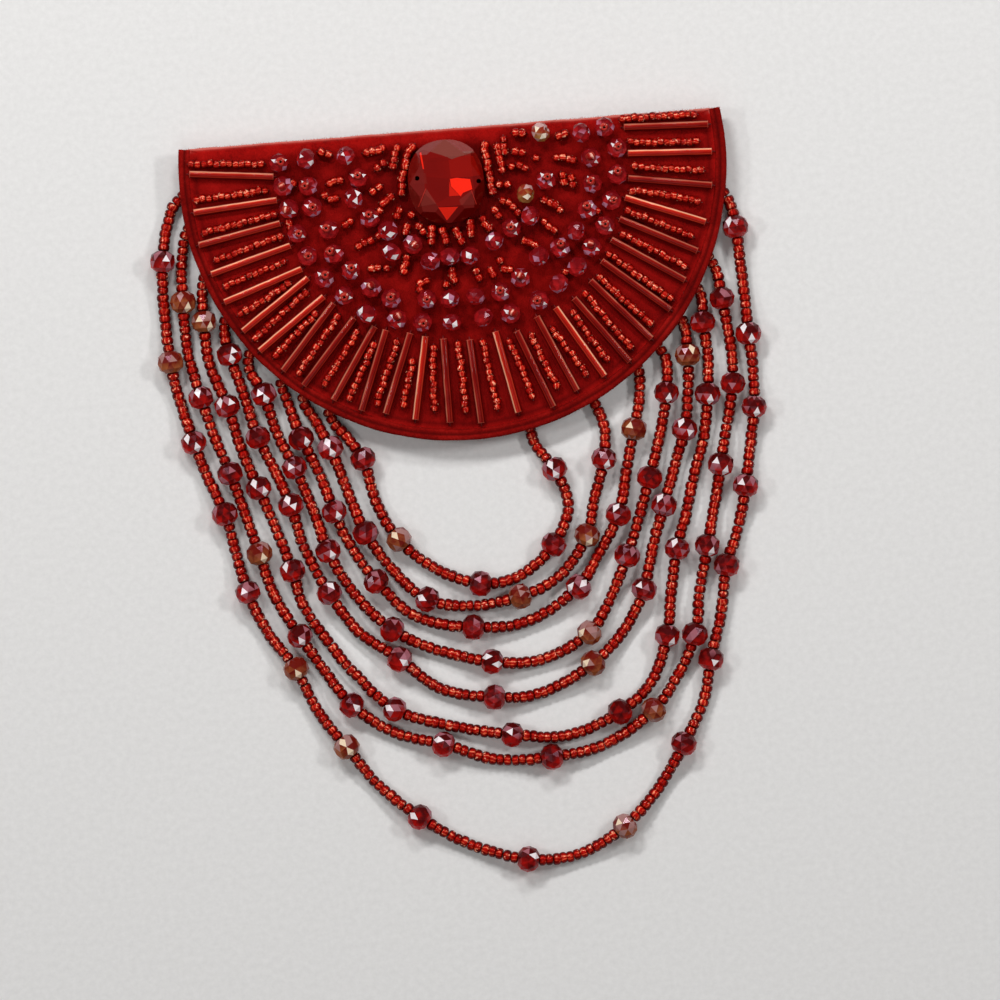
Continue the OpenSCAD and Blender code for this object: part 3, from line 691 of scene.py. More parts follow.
# Painted light and shade: shaded flanks, highlight spots of the lining and shaded ends.
seed_glass = lined_glass(
    "silver lined red seed glass",
    [(0.0, (0.08, 0.0, 0.0)), (0.12, (0.16, 0.001, 0.0)), (0.28, (0.28, 0.002, 0.001)),
     (0.36, (0.5, 0.015, 0.006)), (0.43, (0.28, 0.002, 0.001)), (0.57, (0.3, 0.002, 0.001)),
     (0.66, (0.6, 0.03, 0.014)), (0.73, (0.3, 0.002, 0.001)), (0.88, (0.18, 0.001, 0.0)),
     (1.0, (0.08, 0.0, 0.0))],
    [(0.0, (0.12, 0.0, 0.0)), (0.12, (0.26, 0.001, 0.0)), (0.28, (0.5, 0.003, 0.001)),
     (0.35, (1.0, 0.15, 0.06)), (0.42, (0.55, 0.004, 0.001)), (0.59, (0.6, 0.004, 0.001)),
     (0.66, (1.0, 0.45, 0.26)), (0.73, (0.6, 0.004, 0.001)), (0.88, (0.28, 0.001, 0.0)),
     (1.0, (0.12, 0.0, 0.0))],
    1.2, 1100, 0.78, (0.12, 0.001, 0.0), 1500)
paths = []
for name, nodes, chart, fat in (("seed_ray_beads", ["seed_rays"], ray_chart, 1.0),
                                ("seed_spray_beads", ["seed_sprays"], spray_chart, 1.08),
                                ("seed_filling_beads", [], filling_chart, 1.05)):
    places = []
    for row in chart:
        more, thread = row_of_seeds(*row, fat)
        places += more
        paths.append(thread)
    rows = many(name, seed_shape, places, chance.uniform(0.1, 0.9, len(places)))
    fasten(rows, seed_glass, "seed_glass", *nodes)
fasten(piece_from("row_threads", *tube_mesh(paths, ROW_THREAD_R, 5)), thread_red, "seed_glass")


# Crystals on the panel.
# Faceted red glass crystals with a lilac coating, in three half rings round the stone. Most are sewn
# hole up, by a thread that goes round a small stop seed. Others lie on their side in line with a row.
CRYSTAL_D = 4.9
CRYSTAL_H = 3.6
CRYSTAL_SIDES = 8
# How high the middle of a crystal on its side is, and the share of the stop seeds that lie hole up.
ON_SIDE_HIGH = 2.85
STOPS_HOLE_UP = 0.7
STONE_AT = np.array([-0.3, 76.0])
crystal_chart = {
    "crystals_outer": [
        (-39.5, 83.6), (-39.0, 78.0), (-38.0, 72.5), (-36.5, 66.5), (-34.5, 61.0), (-31.0, 55.5),
        (-26.5, 51.0), (-21.5, 46.2), (-14.5, 44.4), (-8.5, 43.2), (-1.5, 42.6), (6.0, 43.2),
        (12.5, 43.6), (19.5, 46.2), (24.5, 49.8), (29.2, 53.4), (33.0, 57.8), (36.5, 62.6), (38.5, 68.5),
        (40.4, 74.5), (40.8, 80.8), (38.2, 85.9)],
    "crystals_middle": [
        (-33.0, 84.0), (-33.0, 77.5), (-32.5, 72.5), (-29.0, 66.8), (-28.2, 61.0), (-24.5, 56.8),
        (-20.0, 52.3), (-15.5, 49.4), (-7.0, 48.6), (-1.5, 48.2), (4.5, 48.3), (10.5, 48.9), (15.5, 51.8),
        (20.3, 56.6), (25.5, 58.2), (29.5, 61.9), (32.5, 66.8), (34.3, 72.8), (34.5, 79.0), (32.6, 85.0)],
    "crystals_inner": [
        (-23.5, 84.0), (-21.0, 78.5), (-22.5, 73.8), (-19.0, 68.8), (-15.0, 65.5), (-14.5, 60.3),
        (-9.3, 61.8), (-5.5, 57.4), (-0.8, 58.2), (4.0, 58.0), (10.0, 61.0), (14.3, 63.8), (19.0, 66.3),
        (18.3, 71.6), (23.4, 74.5), (23.0, 85.9)]}
amber_crystals = [(18.3, 71.6), (23.0, 85.9)]
# The share of each half ring's crystals that lie on their side.
share_on_side = {"crystals_outer": 0.15, "crystals_middle": 0.3, "crystals_inner": 0.8}


def cut_crystal(wide, high, ways, bulge, shoulder):
    """A bead cut with kites and triangles on both faces. bulge and shoulder are the shares of its
    radius and half height where the kites meet."""
    radius = wide / 2
    step = 2 * math.pi / ways
    hole = 0.12 * wide
    rings = [(hole, high / 2 - 0.25, 0.0), (hole, high / 2 - 0.02, 0.0), (radius / 2, high / 2, 0.0),
             (bulge * radius, shoulder * high / 2, 0.5)]
    rings += [(radius, 0.0, 0.0)] + [(r, -z, shift) for r, z, shift in reversed(rings)]
    points, faces = [], []
    for r, z, shift in rings:
        spokes = [(k + shift) * step for k in range(ways)]
        points += [(r * math.cos(t), r * math.sin(t), z) for t in spokes]

    def at(ring, k):
        return ring * ways + k % ways

    def band(ring, k):
        lower = (ring + 1) % len(rings)
        return (at(lower, k + 1), at(ring, k + 1), at(ring, k), at(lower, k))

    for k in range(ways):
        faces += [band(0, k), band(1, k)]
        faces.append((at(3, k), at(2, k + 1), at(2, k)))
        faces.append((at(3, k - 1), at(4, k), at(3, k), at(2, k)))
        faces.append((at(4, k), at(4, k + 1), at(3, k)))
        faces.append((at(4, k + 1), at(4, k), at(5, k)))
        faces.append((at(5, k), at(4, k), at(5, k - 1), at(6, k)))
        faces.append((at(6, k + 1), at(5, k), at(6, k)))
        faces += [band(6, k), band(7, k), band(8, k)]
    return np.array(points), faces


def coated_crystal(name, dark, lit, sheen, glint, patchy, sheen_side):
    """Cut glass with a vapour coating, with painted light and shade. It is painted dark toward the light
    and with a painted glow where the light leaves it, and patchy says how much its facets differ. A few
    facets are painted with the coating's pale sheen, a painted reflection, more of them where the light
    comes in if sheen_side is below 0, or where it leaves if above, and one here and there is painted as
    an almost white glint."""
    made = finish_of(name, Roughness=0.15, IOR=1.45, Coat_Weight=0.1, Coat_Roughness=0.03, Coat_IOR=1.5,
                     Transmission_Weight=0.15, Specular_IOR_Level=0.15, Specular_Tint=(1.0, 0.6, 0.8),
                     Coat_Tint=(1.0, 0.65, 0.75))
    facet, glow = kept(made, "facet"), kept(made, "glow")
    depth = speckle(made, own_place(made), 500.0, Detail=2.0)
    depth = times_plus(made, facet, patchy, times_plus(made, glow, 0.45, depth))
    body = dyed(made, depth, [(0.2 + patchy / 3, dark), (1.0, lit)])
    shine = times_plus(made, kept(made, "tone"), 0.06, facet)
    caught = spread(made, times_plus(made, glow, sheen_side, shine), 0.75, 0.8)
    paint(made, mixed(made, caught, body, dyed(made, shine, [(0.92, sheen), (0.94, glint)])))
    return made


# Painted light and shade: a dark and a lit body, a painted sheen and a painted white glint.
ruby_crystal = coated_crystal("lilac coated red crystal", (0.19, 0.004, 0.006), (0.74, 0.02, 0.022),
                              (0.55, 0.23, 0.34), (1.0, 0.96, 0.97), 0.3, 0.1)
amber_crystal = coated_crystal("gold coated amber crystal", (0.3, 0.03, 0.01), (0.45, 0.22, 0.06),
                               (0.6, 0.36, 0.34), (1.0, 0.88, 0.68), 0.6, -0.08)
crystal_shape = cut_crystal(CRYSTAL_D, CRYSTAL_H, CRYSTAL_SIDES, 0.86, 0.68)
stops, stop_tones, knots = [], [], []
for node, chart in crystal_chart.items():
    red, amber = [], []
    for x, y in chart:
        gold = (x, y) in amber_crystals
        if gold or chance.random() < share_on_side[node]:
            # This crystal is threaded in line with its row and lies on its side.
            from_stone = np.array([x, y]) - STONE_AT
            way = from_stone / np.linalg.norm(from_stone) + chance.uniform(-0.4, 0.4, 2)
            turn = frame_along((*way, 0.42), chance.uniform(0, 6))
            place = (turn, chance.uniform(0.96, 1.03), np.array([x, y, BEADS_Z + ON_SIDE_HIGH]))
            (amber if gold else red).append(place)
            continue
        lean = np.array([chance.uniform(-0.2, 0.2), chance.uniform(-0.3, 0.1), 1.0])
        at = np.array([x, y, BEADS_Z + CRYSTAL_H / 2 + 0.05])
        turn = frame_along(lean, chance.uniform(0, 6))
        red.append((turn, chance.uniform(0.96, 1.03), at))
        up = turn[:, 2]
        peak = at + up * (CRYSTAL_H / 2)
        knots.append((turn, 1.0, peak - up * 0.35))
        ring_up = chance.random() < STOPS_HOLE_UP
        way = up if ring_up else np.array([chance.uniform(-1, 1), chance.uniform(-1, 1), 0.1])
        size = SEED_D * chance.uniform(0.95, 1.12)
        slip = (chance.uniform(-0.4, 0.4), chance.uniform(0.2, 0.8), 0.0)
        stops.append((frame_along(way), size, peak + up * size * (0.34 if ring_up else 0.42) + slip))
        stop_tones.append(chance.uniform(0.2, 0.8))
    ring = many(node + "_cut", crystal_shape, red, chance.uniform(0.0, 0.6, len(red)), smooth=False)
    fasten(ring, ruby_crystal, "crystal_glass", node)
    if amber:
        tones = chance.uniform(0.3, 0.6, len(amber))
        extra = many(node + "_amber", crystal_shape, amber, tones, smooth=False)
        fasten(extra, amber_crystal, "crystal_glass")
knot_shape = turned([(0.02, -0.45), (0.45, -0.3), (0.56, 0.0), (0.42, 0.25), (0.02, 0.36)], 10)
fasten(many("crystal_knots", knot_shape, knots, [0.5] * len(knots)), thread_red, "crystal_glass")
# Painted light and shade: a lit rim and side with highlights, and a shaded side.
stop_glass = lined_glass(
    "clear red seed glass",
    [(0.0, (0.4, 0.04, 0.03)), (0.25, (0.22, 0.004, 0.003)), (0.5, (0.3, 0.006, 0.004)),
     (0.7, (0.8, 0.28, 0.2)), (0.78, (0.4, 0.02, 0.01)), (1.0, (0.45, 0.04, 0.03))],
    [(0.0, (0.45, 0.05, 0.03)), (0.25, (0.28, 0.006, 0.004)), (0.5, (0.4, 0.01, 0.006)),
     (0.7, (1.0, 0.62, 0.5)), (0.78, (0.5, 0.03, 0.015)), (1.0, (0.5, 0.06, 0.04))],
    0.7, 1100, 0.9, (0.42, 0.02, 0.014))
fasten(many("crystal_stop_seeds", seed_shape, stops, stop_tones), stop_glass, "seed_glass")


# Centre stone.
# A cushion-cut glass stone of 18 by 20 mm, dark red with a foiled back. Its table and crown are flat
# ground facets, each with painted light and some with a painted reflection. It is sewn down through a
# hole at each side, and painted highlights stand for the flashes of the foil.
STONE_W = 18.0
STONE_L = 19.8
STONE_H = 6.0
STONE_SIDES = 72
# How square the cushion is: 2 would be an ellipse.
STONE_SQUARE = 2.3
STONE_HOLES = [(-6.75, 1.2), (7.75, -0.6)]
STONE_HOLE_R = 0.55
# The painted light of the table and of the flanks, and how nearly a face has to match a facet, where
# 1 is fully.
TABLE_PAINTED_LIGHT = 0.27
FLANK_PAINTED_LIGHT = 0.12
MATCHES = 0.9995
# Each crown facet: the way it faces in degrees, how far out it starts, its height there, its fall per
# millimetre, its painted light and its share of a mauve-brown painted reflection.
stone_facets = [
    (90, 5.7, 6.0, 0.62, 0.3, 1.0), (140, 6.5, 6.0, 0.7, 0.26, 0.05), (38, 7.2, 6.0, 0.72, 0.3, 0.1),
    (180, 5.1, 6.0, 0.5, 0.25, 0.12), (2, 6.4, 6.0, 0.62, 0.24, 0.0), (222, 5.6, 6.0, 0.55, 0.24, 0.2),
    (318, 6.6, 6.0, 0.62, 0.25, 0.15), (270, 6.0, 6.0, 0.68, 0.24, 0.0), (112, 8.3, 4.5, 1.4, 0.27, 0.35),
    (66, 8.5, 4.5, 1.4, 0.29, 0.35), (158, 7.9, 4.4, 1.3, 0.2, 0.05), (18, 8.3, 4.4, 1.3, 0.2, 0.0),
    (202, 7.9, 4.4, 1.3, 0.2, 0.15), (338, 8.3, 4.4, 1.3, 0.14, 0.0), (246, 8.4, 4.4, 1.3, 0.16, 0.0),
    (292, 8.6, 4.4, 1.3, 0.18, 0.0)]


def ground_planes():
    """Each facet's plane: its fall to the right and toward the top edge, its height over the middle,
    a point on it, its painted light and its painted reflection."""
    planes = []
    for facing, start, height, fall, tone, smoke in stone_facets:
        a = math.radians(facing)
        at = (start * math.cos(a), start * math.sin(a), height)
        planes.append((fall * math.cos(a), fall * math.sin(a), height + fall * start, at, tone, smoke))
    return planes


def stone_ring(share, z):
    """Points round the cushion outline at a share of its size."""
    ring = []
    for k in range(STONE_SIDES):
        a = 2 * math.pi * k / STONE_SIDES
        bulge = abs(math.cos(a)) ** STONE_SQUARE + abs(math.sin(a)) ** STONE_SQUARE
        bulge = bulge ** (-1 / STONE_SQUARE) * share / 2
        ring.append((STONE_W * bulge * math.cos(a), STONE_L * bulge * math.sin(a), z))
    return ring


def ground_stone():
    """The stone cut from a straight blank, one facet after the other, as on a grinding wheel."""
    blank = bmesh.new()
    rings = [stone_ring(0.94, 0.05), stone_ring(1.0, 1.7), stone_ring(1.0, STONE_H)]
    rings = [[blank.verts.new(p) for p in ring] for ring in rings]
    blank.faces.new(list(reversed(rings[0])))
    blank.faces.new(rings[2])
    for low, high in zip(rings[:-1], rings[1:]):
        for k in range(STONE_SIDES):
            n = (k + 1) % STONE_SIDES
            blank.faces.new((low[k], low[n], high[n], high[k]))
    for fall_x, fall_y, top, at, tone, smoke in planes:
        everything = blank.verts[:] + blank.edges[:] + blank.faces[:]
        bmesh.ops.bisect_plane(blank, geom=everything, plane_co=at, plane_no=(fall_x, fall_y, 1.0),
                               clear_outer=True)
        bmesh.ops.holes_fill(blank, edges=[e for e in blank.edges if e.is_boundary], sides=0)
    bmesh.ops.recalc_face_normals(blank, faces=blank.faces[:])
    return blank


def facet_of(normal):
    """The painted light and painted reflection of the ground facet that has this normal, or of the
    table or a flank.
    """
    best, found = MATCHES, (TABLE_PAINTED_LIGHT if normal[2] > MATCHES else FLANK_PAINTED_LIGHT, 0.0)
    for fall_x, fall_y, top, at, tone, smoke in planes:
        n = np.array([fall_x, fall_y, 1.0])
        match = np.dot(n / np.linalg.norm(n), normal)
        if match > best:
            best, found = match, (tone, smoke)
    return found


def set_on_cloth(name, cut, tones):
    """A piece of the stone in its place on the cloth, with each face's painted light and painted
    reflection.
    """
    mesh = bpy.data.meshes.new(name)
    cut.to_mesh(mesh)
    cut.free()
    keep(mesh, "tone", [tone for tone, smoke in tones], "FACE")
    keep(mesh, "smoke", [smoke for tone, smoke in tones], "FACE")
    mesh.transform(Matrix.Translation((*(STONE_AT * MM), BEADS_Z * MM)) @ Matrix.Scale(MM, 4))
    return place_in_scene(name, mesh)


planes = ground_planes()
blank = ground_stone()
stone = set_on_cloth("centre_stone_cut", blank, [facet_of(f.normal) for f in blank.faces])
peg_points, peg_faces = turned([(0.001, -6), (STONE_HOLE_R, -6), (STONE_HOLE_R, 6), (0.001, 6)], 24)
pegs = [peg_points + (*(STONE_AT + hole), BEADS_Z + STONE_H / 2) for hole in STONE_HOLES]
pegs = piece_from("stone_pegs", np.concatenate(pegs),
                  peg_faces + [tuple(v + len(peg_points) for v in face) for face in peg_faces])
boring = stone.modifiers.new("sewing holes", "BOOLEAN")
boring.object = pegs
boring.solver = "EXACT"
bpy.context.view_layer.update()
stone.data = bpy.data.meshes.new_from_object(stone.evaluated_get(bpy.context.evaluated_depsgraph_get()))
stone.modifiers.clear()
stone.data.materials.clear()
bpy.data.objects.remove(pegs)

stone_glass = finish_of("foiled red stone glass", Roughness=0.25, Coat_Weight=0.55, Coat_Roughness=0.01,
                        Specular_IOR_Level=0.05)
# Painted light: each facet's tone sets how bright it is, with a little noise.
depth = speckle(stone_glass, own_place(stone_glass), 160.0, Detail=3.0, Roughness=0.5)
depth = times_plus(stone_glass, depth, 0.08, kept(stone_glass, "tone"))
stone_red = dyed(stone_glass, depth, [(0.0, (0.02, 0.0, 0.0)), (0.3, (0.18, 0.002, 0.001)),
                                      (0.5, (0.42, 0.006, 0.002)), (1.0, (1.0, 0.02, 0.006))])
# A mauve-brown painted reflection on the facets that keep it.
paint(stone_glass, mixed(stone_glass, kept(stone_glass, "smoke"), stone_red, (0.2, 0.042, 0.032)))
fasten(stone, stone_glass, "stone", "centre_stone")

# The flashes of the foil, as painted highlights and painted shade, each with its painted light,
# painted reflection and corners from the stone's middle. They lie in the glass just under the polish,
# so each is laid on the facets that it shows through, a hair above them, and the later ones lie under
# the earlier.
FLASH_LIFT = 0.012
FLASH_STEP = 0.004
flashes = [
    (0.97, 0.0, [(1.0, 0.4), (2.6, 0.55), (5.75, 0.0), (6.1, -2.4), (3.85, -3.1), (3.2, -3.9), (1.1, -1.3)]),
    (0.6, 0.0, [(0.8, -0.1), (1.05, -1.4), (3.0, -3.7), (0.5, -3.65)]),
    (0.9, 0.0, [(-2.3, -6.1), (2.4, -6.3), (-0.5, -9.3)]),
    (0.85, 0.0, [(-5.7, 7.2), (-5.3, 7.3), (-4.9, 3.2), (-5.25, 3.3)]),
    (0.62, 0.45, [(-4.95, -1.4), (-4.75, -1.4), (-6.85, -5.6), (-7.1, -5.5)]),
    (0.62, 0.45, [(5.75, -2.7), (5.95, -2.7), (6.9, -6.0), (6.65, -6.1)]),
    (0.28, 0.45, [(-4.7, -1.5), (-2.7, -5.2), (-6.6, -5.5)]),
    (0.27, 0.3, [(5.7, -2.8), (6.5, -6.1), (3.1, -6.0), (2.8, -4.7)]),
    (0.27, 0.0, [(-7.0, 6.9), (-4.9, 7.95), (-0.4, 6.15), (1.6, 5.15), (1.6, 4.9), (-4.6, 4.9)]),
    (0.3, 1.0, [(0.5, 6.6), (0.9, 5.5), (1.8, 5.05), (3.3, 5.45), (7.3, 6.3), (7.0, 6.7)]),
    (0.26, 0.15, [(-8.0, 2.6), (-4.7, 2.3), (-4.5, -0.3), (-8.1, 0.0)]),
    (0.32, 0.0, [(1.0, 5.6), (6.9, 5.5), (8.4, 0.8), (5.6, 0.5), (1.2, 0.8)]),
    (0.24, 0.0, [(-4.7, 1.4), (0.7, 0.5), (0.3, -3.7), (-2.5, -5.1), (-4.7, -1.3)])]


def creases(plane):
    """The lines, in plan, where a facet's plane meets the table and the other facets, each as a point
    and a direction across it."""
    fall_x, fall_y, top = plane[:3]
    lines = []
    for other_x, other_y, other_top in [(0.0, 0.0, STONE_H)] + [p[:3] for p in planes if p is not plane]:
        across_x, across_y = other_x - fall_x, other_y - fall_y
        size = math.hypot(across_x, across_y)
        if size > 1e-6:
            share = (other_top - top) / size ** 2
            lines.append(((across_x * share, across_y * share, 0), (across_x, across_y, 0)))
    return lines


def on_crown(x, y, lift):
    """A point lifted over the ground crown at a place."""
    crown = min([STONE_H] + [plane[2] - plane[0] * x - plane[1] * y for plane in planes])
    return (x, y, crown + lift)


flash = bmesh.new()
for order, (tone, smoke, outline) in enumerate(flashes):
    patch = bmesh.new()
    patch.faces.new([patch.verts.new((x, y, 0)) for x, y in outline])
    for plane in planes:
        for point, across in creases(plane):
            everything = patch.verts[:] + patch.edges[:] + patch.faces[:]
            bmesh.ops.bisect_plane(patch, geom=everything, plane_co=point, plane_no=across)
    lift = FLASH_LIFT + FLASH_STEP * (len(flashes) - order)
    for face in patch.faces:
        middle = face.calc_center_median()
        if all(math.hypot(middle.x - x, middle.y - y) >= STONE_HOLE_R + 0.1 for x, y in STONE_HOLES):
            corners = [flash.verts.new(on_crown(v.co.x, v.co.y, lift)) for v in face.verts]
            flash.faces.new(corners).material_index = order
    patch.free()
bmesh.ops.remove_doubles(flash, verts=flash.verts[:], dist=0.0008)
bmesh.ops.dissolve_limit(flash, angle_limit=0.003, verts=flash.verts[:], edges=flash.edges[:],
                         delimit={"MATERIAL"})
bmesh.ops.recalc_face_normals(flash, faces=flash.faces[:])
tones = [flashes[face.material_index][:2] for face in flash.faces]
for face in flash.faces:
    face.material_index = 0
    if face.normal.z < 0:
        face.normal_flip()
# The sheet of painted flashes over the stone.
fasten(set_on_cloth("centre_stone_flashes", flash, tones), stone_glass, "stone")


# Strings of beads.
# Eight strings of larger silver-lined seeds with a faceted rondelle every ten seeds or so, each on one
# thread. Its two ends are sewn to the back of the panel.
STRING_D = 2.9
STRING_PITCH = 1.75
STRING_THREAD_R = 0.22
RONDELLE_D = 6.3
RONDELLE_W = 5.0
RONDELLE_SIDES = 10
# The further share of rondelles that miss the painted flashes.
RONDELLE_CALM = 0.15
# The bare thread at each end of a string, and how far each seed sits askew.
BARE_END = 0.6
SEED_ASKEW = 0.09
# How the thread leaves the last seed and rises to the back of the panel: how far out, and how high.
THREAD_END = ((-0.5, 0.0), (0.6, 0.3), (1.6, 1.2), (2.4, 1.9))
# Each string's route from its left end. A point with a third number is a rondelle's.
string_chart = [
    [(-57, 80), (-64.5, 76.5), (-67.4, 70.5), (-69, 62.5, 1), (-69.6, 51), (-69, 38.5, 1), (-67.4, 28.5),
     (-65, 19, 1), (-62.4, 10.5), (-59, 1.5, 1), (-57.2, -7.5), (-55, -17.5, 1), (-51, -27.5),
     (-45, -36.5, 1), (-40.8, -46.8), (-34.5, -56, 1), (-28, -65.2), (-18.5, -74, 1), (-7.5, -81.2),
     (6.5, -86, 1), (18.5, -85.8), (30, -80, 1), (39, -71.2), (45.5, -61.5, 1), (51, -51.8),
     (53.5, -42, 1), (56.8, -31.5), (59, -20, 1), (62.6, -11), (65, -1.5, 1), (66.8, 7.5), (68.5, 17, 1),
     (69, 25.5), (68.5, 34.5, 1), (68.2, 47), (67.4, 60, 1), (66.3, 66.5), (63, 71.5), (57.5, 74.5)],
    [(-56, 72), (-62, 70), (-64.4, 62.5), (-64.9, 52.5, 1), (-64.8, 41), (-62.5, 29.5, 1), (-60.2, 20.5),
     (-57, 11, 1), (-54.2, 1.2), (-51.5, -8.5, 1), (-48.8, -18.8), (-43.5, -28.8, 1), (-38, -38),
     (-32.5, -46.2, 1), (-23.2, -53.4), (-11.5, -57.2, 1), (1, -61.8), (14, -62.2, 1), (27, -60.2),
     (39, -53, 1), (45.4, -45.2), (50.2, -35.8, 1), (52.2, -25.5), (54.8, -15, 1), (57.3, -5.5),
     (59.5, 4, 1), (61.8, 13.5), (63.9, 23, 1), (64, 33), (62.9, 43.3, 1), (61.7, 51), (57.5, 57.5)],
    [(-54, 64), (-58.2, 60.5), (-60.1, 55.5), (-60.3, 47.5, 1), (-59.9, 37.8), (-56.4, 27, 1), (-54, 17),
     (-50.5, 7, 1), (-47.2, -3), (-44, -13.2, 1), (-42.2, -21.5), (-37.6, -29.6), (-31.5, -38.4),
     (-22.4, -48, 1), (-9.5, -52.9), (5, -56.2, 1), (18, -57.4), (31, -52.8, 1), (39, -46.2),
     (43.6, -35.6, 1), (45.4, -25.5), (47.6, -15.2, 1), (50.4, -7), (53, 2), (56.2, 11.5),
     (57.7, 20.9, 1), (58.5, 29.5), (57.9, 38, 1), (57.8, 45), (53.5, 51)],
    [(-50, 53.5), (-54.2, 49.5), (-55.7, 45.4), (-54.9, 39.2, 1), (-52.3, 29.5), (-49.7, 19, 1),
     (-46.4, 11), (-43.2, 2.4, 1), (-41, -7.5), (-35.7, -19.2, 1), (-29.6, -28.8), (-20.3, -36.2, 1),
     (-11, -44), (1.5, -47, 1), (13, -46.8), (25.5, -40.8, 1), (33.2, -33.8), (39, -24.2, 1),
     (41.8, -14.5), (45.3, -4.6, 1), (48.6, 4.5), (51.6, 13, 1), (53.1, 21.8), (53.7, 30.5, 1),
     (53.3, 38), (49.5, 44.5)],
    [(-45.5, 44), (-49.3, 40.4), (-50.6, 36), (-47.5, 29.2, 1), (-45.1, 19.6), (-41.6, 11.2, 1),
     (-38.3, 2), (-35.2, -9.2, 1), (-29.8, -19.8), (-21.5, -29, 1), (-11, -34.8), (1.6, -38.5, 1),
     (13, -39), (25.2, -33.5, 1), (31.4, -24.8), (35.6, -15.9, 1), (39, -7.5), (42.4, 2.2, 1), (45.6, 12),
     (48, 22, 1), (48.3, 30.5), (43.5, 37)],
    [(-40, 37.5), (-43.2, 32.2), (-41.9, 26.4), (-39.5, 18, 1), (-35.9, 9.5), (-33, 0, 1), (-30, -8),
     (-24.4, -17.3, 1), (-15.5, -26.4), (-2.2, -30, 1), (11, -29.6), (23.5, -22.4, 1), (29, -14.8),
     (34.3, -6, 1), (37, 4), (39.6, 14, 1), (41.6, 22), (41.6, 28.8), (38, 34.5)],
    [(-34.6, 32.8), (-38.2, 27.6), (-35.9, 22.2), (-32.7, 15.2, 1), (-29.6, 5), (-26, -5.6, 1),
     (-20.6, -14.4), (-12.6, -22.5, 1), (-2.5, -24.9), (9.5, -23.6, 1), (19, -19.6), (26.5, -10.3, 1),
     (29, -1.5), (31.9, 7.5, 1), (32.6, 15.4), (30.4, 21.5), (27, 27.5)],
    [(-31, 28.4), (-32.3, 23), (-28.7, 17.6), (-25.2, 12, 1), (-22.9, 1.5), (-18.2, -7.8, 1),
     (-10, -15.4), (0.3, -19.8, 1), (9.5, -18.8), (18.4, -11.9, 1), (22.6, -2.8), (20, 6, 1),
     (15.8, 12.5), (14.8, 18), (14.6, 22.5)]]
amber_rondelles = [
    (-69, 38.5), (-45, -36.5), (-34.5, -56), (30, -80), (-64.9, 52.5), (-51.5, -8.5), (39, -53),
    (-60.3, 47.5), (53.7, 30.5), (25.5, -40.8), (25.2, -33.5), (39.6, 14), (9.5, -23.6), (26.5, -10.3),
    (-18.2, -7.8)]


def string_line(route):
    """A smooth line through a route's points, lower between rondelles, how far along it each of its own
    points is, and how far along the route's points are."""
    ends = np.array([(x, y, RONDELLE_D * 0.51 if cut else STRING_D * 0.54) for x, y, *cut in route], float)
    heading = np.vstack([ends[1:], ends[-1:]]) - np.vstack([ends[:1], ends[:-1]])
    heading[:, 2] = 0
    heading /= np.linalg.norm(heading, axis=1)[:, None]
    line, marks = [ends[0]], [0]
    for i in range(len(ends) - 1):
        a, b = ends[i], ends[i + 1]
        span = np.linalg.norm(b[:2] - a[:2])
        for t in np.linspace(0, 1, 25)[1:]:
            line.append((2 * t ** 3 - 3 * t ** 2 + 1) * a + (t ** 3 - 2 * t ** 2 + t) * span * heading[i]
                        + (3 * t ** 2 - 2 * t ** 3) * b + (t ** 3 - t ** 2) * span * heading[i + 1])
        marks.append(len(line) - 1)
    line = np.array(line)
    along = np.concatenate([[0], np.cumsum(np.linalg.norm(np.diff(line, axis=0), axis=1))])
    return line, along, along[marks]


string_seed_shape = bored_bead([(0.5, 0.09), (0.45, 0.23), (0.35, 0.3), (0.19, 0.295), (0.13, 0.25)], 14)
rondelle_shape = cut_crystal(RONDELLE_D, RONDELLE_W, RONDELLE_SIDES, 0.88, 0.64)
# Painted light and shade: shaded flanks, highlight spots of the lining and shaded ends.
string_glass = lined_glass(
    "silver lined red string glass",
    [(0.0, (0.045, 0.0, 0.0)), (0.12, (0.11, 0.0, 0.0)), (0.27, (0.22, 0.001, 0.0)),
     (0.35, (0.48, 0.01, 0.003)), (0.42, (0.26, 0.001, 0.0)), (0.57, (0.29, 0.001, 0.0)),
     (0.64, (0.58, 0.016, 0.006)), (0.71, (0.27, 0.001, 0.0)), (0.88, (0.11, 0.0, 0.0)),
     (1.0, (0.045, 0.0, 0.0))],
    [(0.0, (0.055, 0.0, 0.0)), (0.12, (0.17, 0.0, 0.0)), (0.28, (0.4, 0.002, 0.0)),
     (0.34, (1.0, 0.15, 0.06)), (0.4, (0.46, 0.003, 0.0)), (0.58, (0.52, 0.003, 0.0)),
     (0.64, (1.0, 0.34, 0.17)), (0.7, (0.48, 0.003, 0.0)), (0.88, (0.18, 0.0, 0.0)),
     (1.0, (0.06, 0.0, 0.0))],
    1.0, 700, 0.8, (0.08, 0.0, 0.0), 1300)
